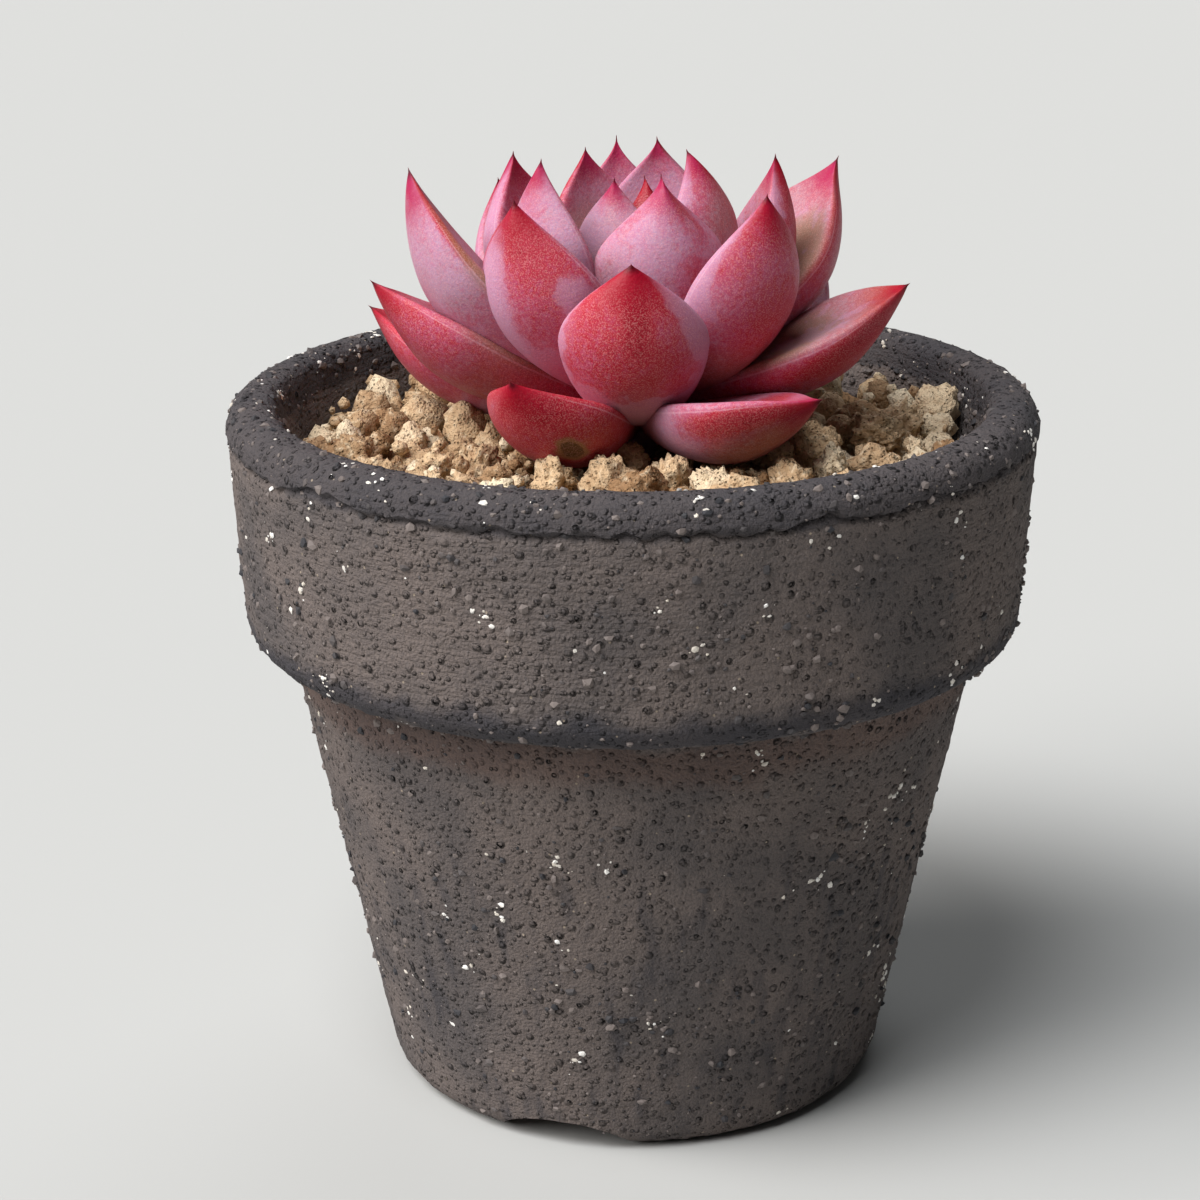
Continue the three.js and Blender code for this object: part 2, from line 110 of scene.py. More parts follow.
soft_sun("window", (-82, -29, 72), 3.7, 48, (1.0, 0.98, 0.96))
soft_sun("high_front", (-24, -32, 80), 2.1, 30, (0.96, 0.98, 1.0))
soft_sun("sky_behind", (10, 60, 80), 0.75, 40, (0.94, 0.97, 1.0))

ROOM_COLOUR = (0.70, 0.71, 0.71, 1)
ROOM_LIGHT = 0.06
ROOM_SHOWN = 1.0

world = bpy.data.worlds.new("soft_room")
world.use_nodes = True
room = world.node_tree.nodes["Background"]
room.inputs["Color"].default_value = ROOM_COLOUR
seen = world.node_tree.nodes.new("ShaderNodeLightPath").outputs["Is Camera Ray"]
level = world.node_tree.nodes.new("ShaderNodeMapRange")
level.inputs["To Min"].default_value = ROOM_LIGHT
level.inputs["To Max"].default_value = ROOM_SHOWN
world.node_tree.links.new(seen, level.inputs["Value"])
world.node_tree.links.new(level.outputs["Result"], room.inputs["Strength"])
bpy.context.scene.world = world
bpy.context.scene.view_settings.view_transform = "Standard"
print("lamps:", len(bpy.data.lights))

# %% [markdown]
# ## A kitchen for finishes
# Clay, stone and leaf skin differ in colour, but the moves that make them are few: noise of a
# given size, a soft threshold, a blend of two colours, a bump. They are written once here, as the
# methods of a small class, so that each finish below reads like a recipe, in millimetres.

# %% Mix a colour
def colour(red, green, blue):
    """A colour as it is mixed on a screen, from 0 to 255, made linear for the shader."""
    def linear(value):
        value /= 255
        return value / 12.92 if value <= 0.04045 else ((value + 0.055) / 1.055) ** 2.4
    return (linear(red), linear(green), linear(blue), 1.0)


print("a check colour:", [round(value, 3) for value in colour(200, 90, 90)])


# %% The moves that every finish is made of
class Finish:
    """One material, with its principled shader and the moves that build what feeds it."""

    def __init__(self, name, roughness):
        self.material = bpy.data.materials.new(name)
        self.material.use_nodes = True
        self.tree = self.material.node_tree
        self.shader = self.tree.nodes["Principled BSDF"]
        self.place = self.add("ShaderNodeTexCoord").outputs["Object"]
        self.set("Roughness", roughness)

    def add(self, kind, **settings):
        node = self.tree.nodes.new(kind)
        for name, value in settings.items():
            setattr(node, name, value)
        return node

    def feed(self, socket, value):
        """Links what another node gives to the socket, or sets a plain value on it."""
        if isinstance(value, bpy.types.NodeSocket):
            self.tree.links.new(value, socket)
        else:
            socket.default_value = value

    def set(self, name, value):
        self.feed(self.shader.inputs[name], value)

    def maths(self, operation, first, second=0.0):
        node = self.add("ShaderNodeMath", operation=operation)
        self.feed(node.inputs[0], first)
        self.feed(node.inputs[1], second)
        return node.outputs[0]

    def plus(self, first, second):
        return self.maths("ADD", first, second)

    def minus(self, first, second):
        return self.maths("SUBTRACT", first, second)

    def times(self, first, second):
        return self.maths("MULTIPLY", first, second)

    def step(self, value, low, high, start=0.0, end=1.0):
        """A soft threshold: start below low, end above high, and a smooth way between."""
        node = self.add("ShaderNodeMapRange", interpolation_type="SMOOTHSTEP")
        self.feed(node.inputs["Value"], value)
        ends = {"From Min": low, "From Max": high, "To Min": start, "To Max": end}
        for name, number in ends.items():
            node.inputs[name].default_value = number
        return node.outputs["Result"]

    def blend(self, share, low, high):
        """From one colour to another. A Mix node takes its two colours in sockets 6 and 7."""
        node = self.add("ShaderNodeMix", data_type="RGBA")
        self.feed(node.inputs[0], share)
        self.feed(node.inputs[6], low)
        self.feed(node.inputs[7], high)
        return node.outputs[2]

    def stretched(self, across, up):
        """The object's coordinates with a pattern's width and height scaled apart."""
        node = self.add("ShaderNodeMapping")
        self.feed(node.inputs["Vector"], self.place)
        node.inputs["Scale"].default_value = (1 / across, 1 / across, 1 / up)
        return node.outputs["Vector"]

    def noise(self, size, detail=2.0, place=None):
        """Cloudy values round 0.5, with clouds of about that size."""
        node = self.add("ShaderNodeTexNoise")
        self.feed(node.inputs["Vector"], place or self.place)
        node.inputs["Scale"].default_value = 1 / (size * MM)
        node.inputs["Detail"].default_value = detail
        return node.outputs["Fac"]

    def cells(self, size):
        """The way to the nearest of many scattered points, as a share of the size."""
        node = self.add("ShaderNodeTexVoronoi")
        self.feed(node.inputs["Vector"], self.place)
        node.inputs["Scale"].default_value = 1 / (size * MM)
        return node.outputs["Distance"]

    def measure(self, name):
        """The three numbers that a mesh carries under that name at every point."""
        attribute = self.add("ShaderNodeAttribute", attribute_name=name)
        split = self.add("ShaderNodeSeparateXYZ")
        self.feed(split.inputs[0], attribute.outputs["Vector"])
        return split.outputs[0], split.outputs[1], split.outputs[2]

    def bump(self, height, depth, under=None):
        """Relief of that depth in millimetres, on top of another bump if one is given."""
        node = self.add("ShaderNodeBump")
        node.inputs["Distance"].default_value = depth * MM
        self.feed(node.inputs["Height"], height)
        if under is not None:
            self.feed(node.inputs["Normal"], under)
        return node.outputs["Normal"]


print("moves:", [name for name in vars(Finish) if not name.startswith("_")])

# %% [markdown]
# ## From a shape to a piece
# Every new piece ends in the same way: its shape becomes a mesh, the mesh gets a material, and
# the object stays at the origin and rides on the one body of the model. Grit and granules come in
# hundreds, so they have a collector of their own: it takes copies of one small ball, each bent
# by its own rule, and turns them all into one mesh at the end.

# %% Finish a piece
def make_piece(mesh, name, finish, stands_for=()):
    mesh.name = name
    mesh.shade_smooth()
    mesh.materials.append(finish.material)
    piece = put(name, mesh)
    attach(piece, "root")
    if stands_for:
        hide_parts(*stands_for)
    print(f"{name}: {len(mesh.polygons)} faces")
    return piece


def mesh_of(shape):
    """The mesh of a bmesh, which isn't needed after that."""
    mesh = bpy.data.meshes.new("shape")
    shape.to_mesh(mesh)
    shape.free()
    return mesh


def ball(subdivisions):
    """A ball of radius 1 as its points and its faces."""
    shape = bmesh.new()
    bmesh.ops.create_icosphere(shape, subdivisions=subdivisions, radius=1)
    shape.verts.index_update()
    points = [vert.co.copy() for vert in shape.verts]
    faces = [[vert.index for vert in face.verts] for face in shape.faces]
    shape.free()
    return points, faces


def tumbled(chance):
    return Euler([chance.uniform(0, 6.28) for _ in range(3)]).to_matrix()


class Crowd:
    """Many small lumps that end up in one mesh."""

    def __init__(self):
        self.points, self.faces, self.tints = [], [], []

    def add(self, form, place_of, tint):
        """Adds a copy of the form, with each point where the rule puts it."""
        points, faces = form
        start = len(self.points)
        self.points += [place_of(point) * MM for point in points]
        self.faces += [[start + i for i in face] for face in faces]
        self.tints += [value for _ in points for value in tint]

    def mesh(self):
        mesh = bpy.data.meshes.new("crowd")
        mesh.from_pydata(self.points, [], self.faces)
        layer = mesh.attributes.new("tint", "FLOAT_VECTOR", "POINT")
        layer.data.foreach_set("vector", self.tints)
        return mesh


print("faces of the balls:", [len(ball(level)[1]) for level in (1, 2, 3, 4)])

# %% [markdown]
# ## The floor
# A plain pale floor shows the object's shadow and nothing else. It reaches so far that its edge
# can't be told from the pale room.

# %% Lay the floor
FLOOR_SIZE = 60000

floor_finish = Finish("pale_floor", 0.8)
floor_finish.set("Base Color", colour(184, 184, 182))
floor_finish.set("Specular IOR Level", 0.0)
floor_shape = bmesh.new()
bmesh.ops.create_grid(floor_shape, x_segments=1, y_segments=1, size=FLOOR_SIZE * MM / 2)
floor_mesh = mesh_of(floor_shape)
floor_mesh.name = "floor"
floor_mesh.materials.append(floor_finish.material)
put("floor", floor_mesh)
print("floor in metres:", FLOOR_SIZE * MM)

# %% [markdown]
# ## The clay of the pot
# The pot is fired dark and left without a glaze. Its clay is full of grit: the body is a dull
# brown grey, sandy to the touch, and nearly black where the potter's wet fingers closed the
# surface, on the lip and on the band's lower edge. Colour and bump read the place on the pot, so
# the recipe can be darker at those heights. The larger grains are real geometry, further down.

# %% The clay's recipe
BAND_FOOT = 54.0
BAND_TOP = (44.75, 75.6)
LIP_TOP = 79.7

# The heights between which the clay's looks come or go.
STREAKED = (44, 30)
RUST_BEGINS = (46, 49)
RUST_ENDS = (51.5, 53)
DRAGGED = (52, 56)

CLAY_BROWN = colour(114, 103, 98)
CLAY_GREY = colour(93, 86, 84)
CLAY_BLACK = colour(44, 46, 54)
CLAY_RUST = colour(102, 74, 62)
CHALK = colour(176, 160, 140)


def clay_finish():
    clay = Finish("stoneware", 0.9)
    split = clay.add("ShaderNodeSeparateXYZ")
    clay.feed(split.inputs[0], clay.place)
    height = clay.maths("DIVIDE", split.outputs[2], MM)
    body = clay.blend(clay.step(clay.noise(14, 3), 0.35, 0.7), CLAY_BROWN, CLAY_GREY)
    streaks = clay.step(clay.noise(2.2, 3, clay.stretched(1.0, 14.0)), 0.5, 0.74, 0, 0.5)
    streaks = clay.times(streaks, clay.step(height, *STREAKED))
    body = clay.blend(streaks, body, CLAY_BLACK)
    wobble = clay.times(clay.minus(clay.noise(5, 3), 0.5), 5.0)
    ragged = clay.plus(height, wobble)
    near_lip = clay.plus(height, clay.times(wobble, 0.3))
    lip = clay.step(near_lip, BAND_TOP[1] - 0.2, BAND_TOP[1] + 0.8, 0, 0.6)
    low_edge = clay.step(ragged, BAND_FOOT - 1.5, BAND_FOOT)
    edge = clay.minus(low_edge, clay.step(ragged, BAND_FOOT + 1.5, BAND_FOOT + 4.0))
    black = clay.maths("MAXIMUM", lip, clay.times(edge, 0.72))
    body = clay.blend(black, body, CLAY_BLACK)
    rust = clay.minus(clay.step(ragged, *RUST_BEGINS), clay.step(ragged, *RUST_ENDS))
    body = clay.blend(clay.times(rust, 0.4), body, CLAY_RUST)

    sand = clay.noise(0.32, 4)
    body = clay.blend(clay.step(sand, 0.35, 0.7, 0, 0.3), body, CLAY_BLACK)
    crowded = clay.step(clay.noise(6, 2), 0.35, 0.6, 0.3, 1.0)
    crumbs = clay.step(clay.cells(0.85), 0.4, 0.1)
    lumps = clay.times(clay.step(clay.cells(1.9), 0.3, 0.08), crowded)
    body = clay.blend(clay.times(lumps, 0.2), body, CLAY_BLACK)
    body = clay.blend(clay.step(clay.cells(2.3), 0.075, 0.05, 0, 0.6), body, CHALK)
    clay.set("Base Color", body)

    drag = clay.noise(1.0, 3, clay.stretched(3.6, 0.6))
    drag = clay.times(drag, clay.step(height, *DRAGGED))
    relief = clay.bump(sand, 0.3)
    relief = clay.bump(crumbs, 0.45, relief)
    relief = clay.bump(lumps, 1.0, relief)
    clay.set("Normal", clay.bump(drag, 0.34, relief))
    clay.set("Specular IOR Level", 0.25)
    return clay


pot_clay = clay_finish()
print("clay mixed, nodes:", len(pot_clay.tree.nodes))

# %% [markdown]
# ## The pot
# A thrown pot is a profile turned about an axis, so a spin is the natural way to make it. The
# profile runs from the foot up the tapered body, out under the wide band, over the rounded lip,
# down inside to the floor, through the drain hole and back to the foot ring. It is cut into short
# steps before it is spun, because the clay's unevenness is then pushed into the mesh itself.

# %% Draw the pot's profile
pot_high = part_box("pot")[1]
RIM_RADIUS = pot_high.x / MM
POT_HEIGHT = pot_high.z / MM
LIP_ROUNDING = 3
BAND_LOW = (43.7, 56.1)
BAND_ROUNDING = 3.2
BODY_TOP = (39.1, 52.9)
FOOT_RADIUS = 28.9
FOOT_ROUNDING = 3.5
WALL_LEAN = 8
FOOT_RING_INSIDE = 21.5
FOOT_RECESS = 3.2
FLOOR_LEVEL = 7.2
FLOOR_EDGE = 25.5
DRAIN_RADIUS = 5
MOUTH_RADIUS = 39.3
MOUTH_ROUNDING = 1.8
WALL_TOP = (38, 73)
GROOVE_DEPTH = 0.4
GROOVE_HEIGHT = 0.6
OUTSIDE_STEP = 0.75
INSIDE_STEP = 3.0
POT_SIDES = 360


def arc(centre, radius, start, end, steps=8):
    turns = [math.radians(start + (end - start) * i / steps) for i in range(steps + 1)]
    return [(centre[0] + radius * math.cos(t), centre[1] + radius * math.sin(t)) for t in turns]


def finely(points, longest):
    """The same line with more points, so that no stretch is longer than asked."""
    fine = []
    for (r0, z0), (r1, z1) in zip(points, points[1:]):
        parts = max(1, math.ceil(math.hypot(r1 - r0, z1 - z0) / longest))
        fine += [(r0 + (r1 - r0) * i / parts, z0 + (z1 - z0) * i / parts) for i in range(parts)]
    return fine + [points[-1]]


def spin_line(shape, line, centre, steps, closed):
    """Turns a line of radius and height about the upright through the centre."""
    x, y = centre.xy
    verts = [shape.verts.new(((x + r) * MM, y * MM, z * MM)) for r, z in line]
    ends = verts[1:] + verts[:1] if closed else verts[1:]
    edges = [shape.edges.new(pair) for pair in zip(verts, ends)]
    bmesh.ops.spin(
        shape, geom=verts + edges, cent=centre * MM, axis=(0, 0, 1),
        angle=2 * math.pi, steps=steps, use_merge=True,
    )


def outer_profile():
    lip = (RIM_RADIUS - LIP_ROUNDING, POT_HEIGHT - LIP_ROUNDING)
    foot = (FOOT_RADIUS - FOOT_ROUNDING, FOOT_ROUNDING)
    band = (BAND_LOW[0] - BAND_ROUNDING, BAND_LOW[1])
    mouth = (MOUTH_RADIUS + MOUTH_ROUNDING, POT_HEIGHT - MOUTH_ROUNDING)
    return [
        *arc(foot, FOOT_ROUNDING, -90, -WALL_LEAN),
        BODY_TOP,
        *arc(band, BAND_ROUNDING, -90, 0),
        BAND_TOP,
        (BAND_TOP[0] - GROOVE_DEPTH, BAND_TOP[1] + GROOVE_HEIGHT),
        *arc(lip, LIP_ROUNDING, 0, 90),
        *arc(mouth, MOUTH_ROUNDING, 90, 180, 4),
        WALL_TOP,
    ]


def inner_profile():
    return [
        WALL_TOP,
        (FLOOR_EDGE, FLOOR_LEVEL + 2.5),
        (FLOOR_EDGE - 3, FLOOR_LEVEL),
        (DRAIN_RADIUS, FLOOR_LEVEL),
        (DRAIN_RADIUS, FOOT_RECESS),
        (FOOT_RING_INSIDE - 1, FOOT_RECESS),
        (FOOT_RING_INSIDE, 0),
        (FOOT_RADIUS - FOOT_ROUNDING, 0),
    ]


pot_outside = finely(outer_profile(), OUTSIDE_STEP)
pot_inside = finely(inner_profile(), INSIDE_STEP)
print("profile points:", len(pot_outside) + len(pot_inside))

# %% [markdown]
# The clay is uneven in four ways: the wall is slightly out of true, rings from throwing run round
# the band, grit lifts the skin in lumps, and fine sand makes it grainy. Each is a noise of its own
# size, added along the normal of every point above the face that the pot stands on. The crease
# under the lip was closed by hand, so it strays up and down a little as well.

# %% Spin the pot and roughen its skin
OUT_OF_TRUE = 0.12
RING_DEPTH = 0.06
LUMP_HEIGHT = 0.28
GRAIN_HEIGHT = 0.09
CREASE_REACH = 2.6


def clay_relief(place):
    """How far the skin stands out at a place, both in millimetres."""
    x, y, z = place
    rings = noise.noise(Vector((x * 0.01, y * 0.01, z * 1.1)))
    on_band = min(max((z - 53) / 3, 0), 1)
    lumps = noise.noise(Vector(place) / 1.9)
    relief = OUT_OF_TRUE * noise.noise(Vector(place) / 16)
    relief += RING_DEPTH * on_band * rings
    relief += LUMP_HEIGHT * max(lumps, 0) ** 1.5
    relief += GRAIN_HEIGHT * noise.noise(Vector(place) / 0.8)
    return relief if math.hypot(x, y) > DRAIN_RADIUS + 1 else 0


def crease_wander(place):
    """How far the crease under the lip strays up or down, in millimetres."""
    if math.hypot(place.x, place.y) < MOUTH_RADIUS + MOUTH_ROUNDING:
        return 0
    near = max(1 - abs(place.z - BAND_TOP[1] - GROOVE_HEIGHT) / CREASE_REACH, 0)
    around = Vector((place.x, place.y, 0))
    return near * (1.1 * noise.noise(around / 7) + 0.9 * noise.noise(around / 1.8))


def spin_pot():
    shape = bmesh.new()
    spin_line(shape, pot_outside[:-1] + pot_inside[:-1], Vector(), POT_SIDES, closed=True)
    bmesh.ops.recalc_face_normals(shape, faces=shape.faces)
    shape.normal_update()
    standing = FOOT_ROUNDING * 0.05 * MM
    for vert in shape.verts:
        if vert.co.z > standing:
            vert.co.z += crease_wander(vert.co / MM) * MM
            vert.co += vert.normal * clay_relief(vert.co / MM) * MM
    return shape


pot = make_piece(mesh_of(spin_pot()), "pot_body", pot_clay, ["pot"])

# %% [markdown]
# Three notches in the foot ring let water out from under the pot. A Boolean cut is the plain way:
# an arched bar is laid through the ring at each place and taken away. The cut is applied, so the
# finished piece has no live modifier, and the bars are thrown away.

# %% Cut the notches
NOTCH_WIDTH = 15
NOTCH_HEIGHT = 3.3
NOTCH_COUNT = 3
FIRST_NOTCH = -17
SHARP_EDGE = math.radians(50)


def notch_bar(azimuth):
    shape = bmesh.new()
    arch = [(NOTCH_WIDTH / 2 * math.cos(t), NOTCH_HEIGHT * math.sin(t) ** 0.9)
            for t in (math.pi * i / 16 for i in range(17))]
    outline = [*arch, (-NOTCH_WIDTH / 2, -1), (NOTCH_WIDTH / 2, -1)]
    start = FOOT_RING_INSIDE - 3
    verts = [shape.verts.new((x * MM, -start * MM, z * MM)) for x, z in outline]
    face = shape.faces.new(verts)
    grown = bmesh.ops.extrude_face_region(shape, geom=[face])
    moved = [item for item in grown["geom"] if isinstance(item, bmesh.types.BMVert)]
    bmesh.ops.translate(shape, verts=moved, vec=(0, -FOOT_RADIUS * MM, 0))
    bmesh.ops.rotate(shape, verts=shape.verts, matrix=Matrix.Rotation(math.radians(azimuth), 3, "Z"))
    bmesh.ops.recalc_face_normals(shape, faces=shape.faces)
    return put("notch_bar", mesh_of(shape))


def cut_away(piece, bar):
    """Takes the bar's form out of the piece's own mesh, and then removes the bar."""
    cut = piece.modifiers.new("notch", "BOOLEAN")
    cut.operation = "DIFFERENCE"
    cut.solver = "EXACT"
    cut.object = bar
    bpy.context.view_layer.update()
    evaluated = piece.evaluated_get(bpy.context.evaluated_depsgraph_get())
    cut_mesh = bpy.data.meshes.new_from_object(evaluated)
    piece.modifiers.remove(cut)
    cut_mesh.name = piece.data.name
    piece.data = cut_mesh
    bpy.data.objects.remove(bar)


for number in range(NOTCH_COUNT):
    cut_away(pot, notch_bar(FIRST_NOTCH + number * 360 / NOTCH_COUNT))
pot.data.set_sharp_from_angle(angle=SHARP_EDGE)
print("pot with its notches:", len(pot.data.polygons), "faces")

# %% [markdown]
# ## Grit on the pot
# Black grains stand out of the clay all over the pot, from fine sand to more than a millimetre,
# and here and there a nest of white chips catches the light. They are scattered by a seeded rule:
# a place along the profile, an angle, and a size that is mostly small. The grains crowd where the
# wet clay was pushed together, on the lip and on the band's lower edge. Each grain is a ball of
# twenty faces with its points jostled, so that it is a sharp crumb and no bead, and it sits sunk
# in the wall.

# %% Choose places on the wall
GROG_COUNT = 5200
NEST_COUNT = 380
NEST_REACH = 1.3
CHIP_STRAY = 0.5
CHIPS_IN_NEST = 8
EVEN_CHANCE = (-0.5, 0.6)

# An edge's height, how far its crowd of grains reaches, and how dense that is.
CROWDED_EDGES = [(LIP_TOP - 1, 3.5, 0.35), (BAND_TOP[1], 1.0, 0.9), (BAND_LOW[1] - 1, 2.5, 0.35)]

# The profile before this point lies under the foot.
FIRST_SEEN = 6


def crowding(place):
    """How likely a grain is to stay at a place, on top of an even chance."""
    share = 0.9 * noise.noise(place / 11)
    for height, reach, amount in CROWDED_EDGES:
        share += amount * max(1 - abs(place.z - height) / reach, 0)
    return share


def places_on_wall(chance, count):
    """Places on the outside of the pot, each with the normal there, in millimetres."""
    steps = list(zip(pot_outside[FIRST_SEEN:], pot_outside[FIRST_SEEN + 1:]))
    areas = [math.dist(a, b) * (a[0] + b[0]) for a, b in steps]
    places = []
    while len(places) < count:
        (r0, z0), (r1, z1) = chance.choices(steps, areas)[0]
        share = chance.random()
        radius = r0 + (r1 - r0) * share
        height = z0 + (z1 - z0) * share
        turn = chance.uniform(-math.pi, math.pi)
        place = Vector((radius * math.sin(turn), -radius * math.cos(turn), height))
        if crowding(place) < chance.uniform(*EVEN_CHANCE):
            continue
        out, up = z1 - z0, r0 - r1
        normal = Vector((out * math.sin(turn), -out * math.cos(turn), up)).normalized()
        places.append((place, normal))
    return places


def nests(chance, places):
    """A few places close together round each of the given ones."""
    near = []
    for place, normal in places:
        across = normal.orthogonal().normalized()
        along = normal.cross(across)
        for _ in range(1 + int(CHIPS_IN_NEST * chance.random() ** 2.5)):
            offset = across * chance.gauss(0, CHIP_STRAY) + along * chance.gauss(0, CHIP_STRAY)
            near.append((place + offset * NEST_REACH, normal))
    return near


chance = random.Random(5)
grog_places = places_on_wall(chance, GROG_COUNT)
print("places for grains:", len(grog_places))

# %% Shape the grains
GROG_SIZES = (0.14, 0.62)
GROG_FLAT = 0.85
CHIP_SIZES = (0.08, 0.42)
CHIP_FLAT = 0.5
SUNK = 0.05

GRIT_BLACK = colour(40, 40, 45)
GRIT_GREY = colour(110, 100, 96)
CHIP_WHITE = colour(240, 238, 234)
CHIP_CREAM = colour(206, 196, 182)


def grit(chance, places, sizes, flat, power):
    """Squashed, jostled grains on those places, most of them near the smaller size."""
    crowd = Crowd()
    points, faces = ball(1)
    for place, normal in places:
        radius = sizes[0] + (sizes[1] - sizes[0]) * chance.random() ** power
        turn = tumbled(chance)
        lie = normal.to_track_quat("Z", "Y").to_matrix()
        squash = Matrix.Diagonal((chance.uniform(0.8, 1.3), chance.uniform(0.7, 1.1), flat))
        form = lie @ squash @ turn * radius
        centre = place - normal * radius * SUNK
        jostled = [point * chance.uniform(0.65, 1.25) for point in points]
        crowd.add((jostled, faces), lambda point: centre + form @ point, (chance.random(), 0, 0))
    return crowd.mesh()


grog_finish = Finish("black_grit", 0.7)
grog_tint = grog_finish.step(grog_finish.measure("tint")[0], 0.0, 0.7)
grog_finish.set("Base Color", grog_finish.blend(grog_tint, GRIT_BLACK, GRIT_GREY))
chip_finish = Finish("pale_chip", 0.3)
chip_tint = chip_finish.measure("tint")[0]
chip_finish.set("Base Color", chip_finish.blend(chip_tint, CHIP_WHITE, CHIP_CREAM))

grog_mesh = grit(chance, grog_places, GROG_SIZES, GROG_FLAT, 3.4)
grog = make_piece(grog_mesh, "pot_grit", grog_finish)
chip_places = nests(chance, places_on_wall(chance, NEST_COUNT))
chip_mesh = grit(chance, chip_places, CHIP_SIZES, CHIP_FLAT, 1.6)
chips = make_piece(chip_mesh, "pot_chips", chip_finish)
for piece in (grog, chips):
    piece.data.shade_flat()

# %% [markdown]
# ## The leaves
# Each leaf springs from the stem, runs outwards and curves up. Its midline is stepped out from
# the stem, and round it goes a boat-shaped section: nearly flat above, full below, with a keel
# towards the tip. A sphere is pulled into that form point by point. Its one pole becomes the
# middle of the leaf's foot and the other the tip, so the skin is closed and has no seam.

# %% The table of leaves
STEM = Vector((1, -1.5, 0))
CROWN_HEIGHT = 85
NODE_STEP = 0.31
CROWN_RADIUS = 0.6
STEM_TAPER = 0.11


@dataclass
class Leaf:
    """Azimuth from the front, rise at the foot and at the tip, length and width. Then come the
    twist, the sharpness towards the point, the sideways swing and how wide the foot is. The tones
    are how red, how powdery and how olive the leaf is, on its back and on its upper face. A mark
    changes one of the three round a spot: (tone, share of the length, angle round the leaf, its
    reach along and round, amount). The angle is 0 at the right margin seen from outside, -90 on
    the keel and 90 on the face."""
    azimuth: float
    rise: tuple
    length: float
    width: float
    twist: float = 0
    sharp: float = 0.6
    swing: float = 0
    foot: float = 0.34
    back: tuple = (0.8, 0.3, 0.1)
    face: tuple = (0.35, 0.45, 0.4)
    marks: tuple = ()


RED, POWDER, GREEN = 0, 1, 2

# The bloom on the leaves at the back: thick along both margins and at the foot.
BLOOM = (
    (POWDER, 0.6, -160, 0.4, 34, 0.8), (POWDER, 0.6, -15, 0.4, 30, 0.6),
    (POWDER, 0.36, -90, 0.26, 100, 0.9), (RED, 0.75, -80, 0.25, 45, 0.25),
)

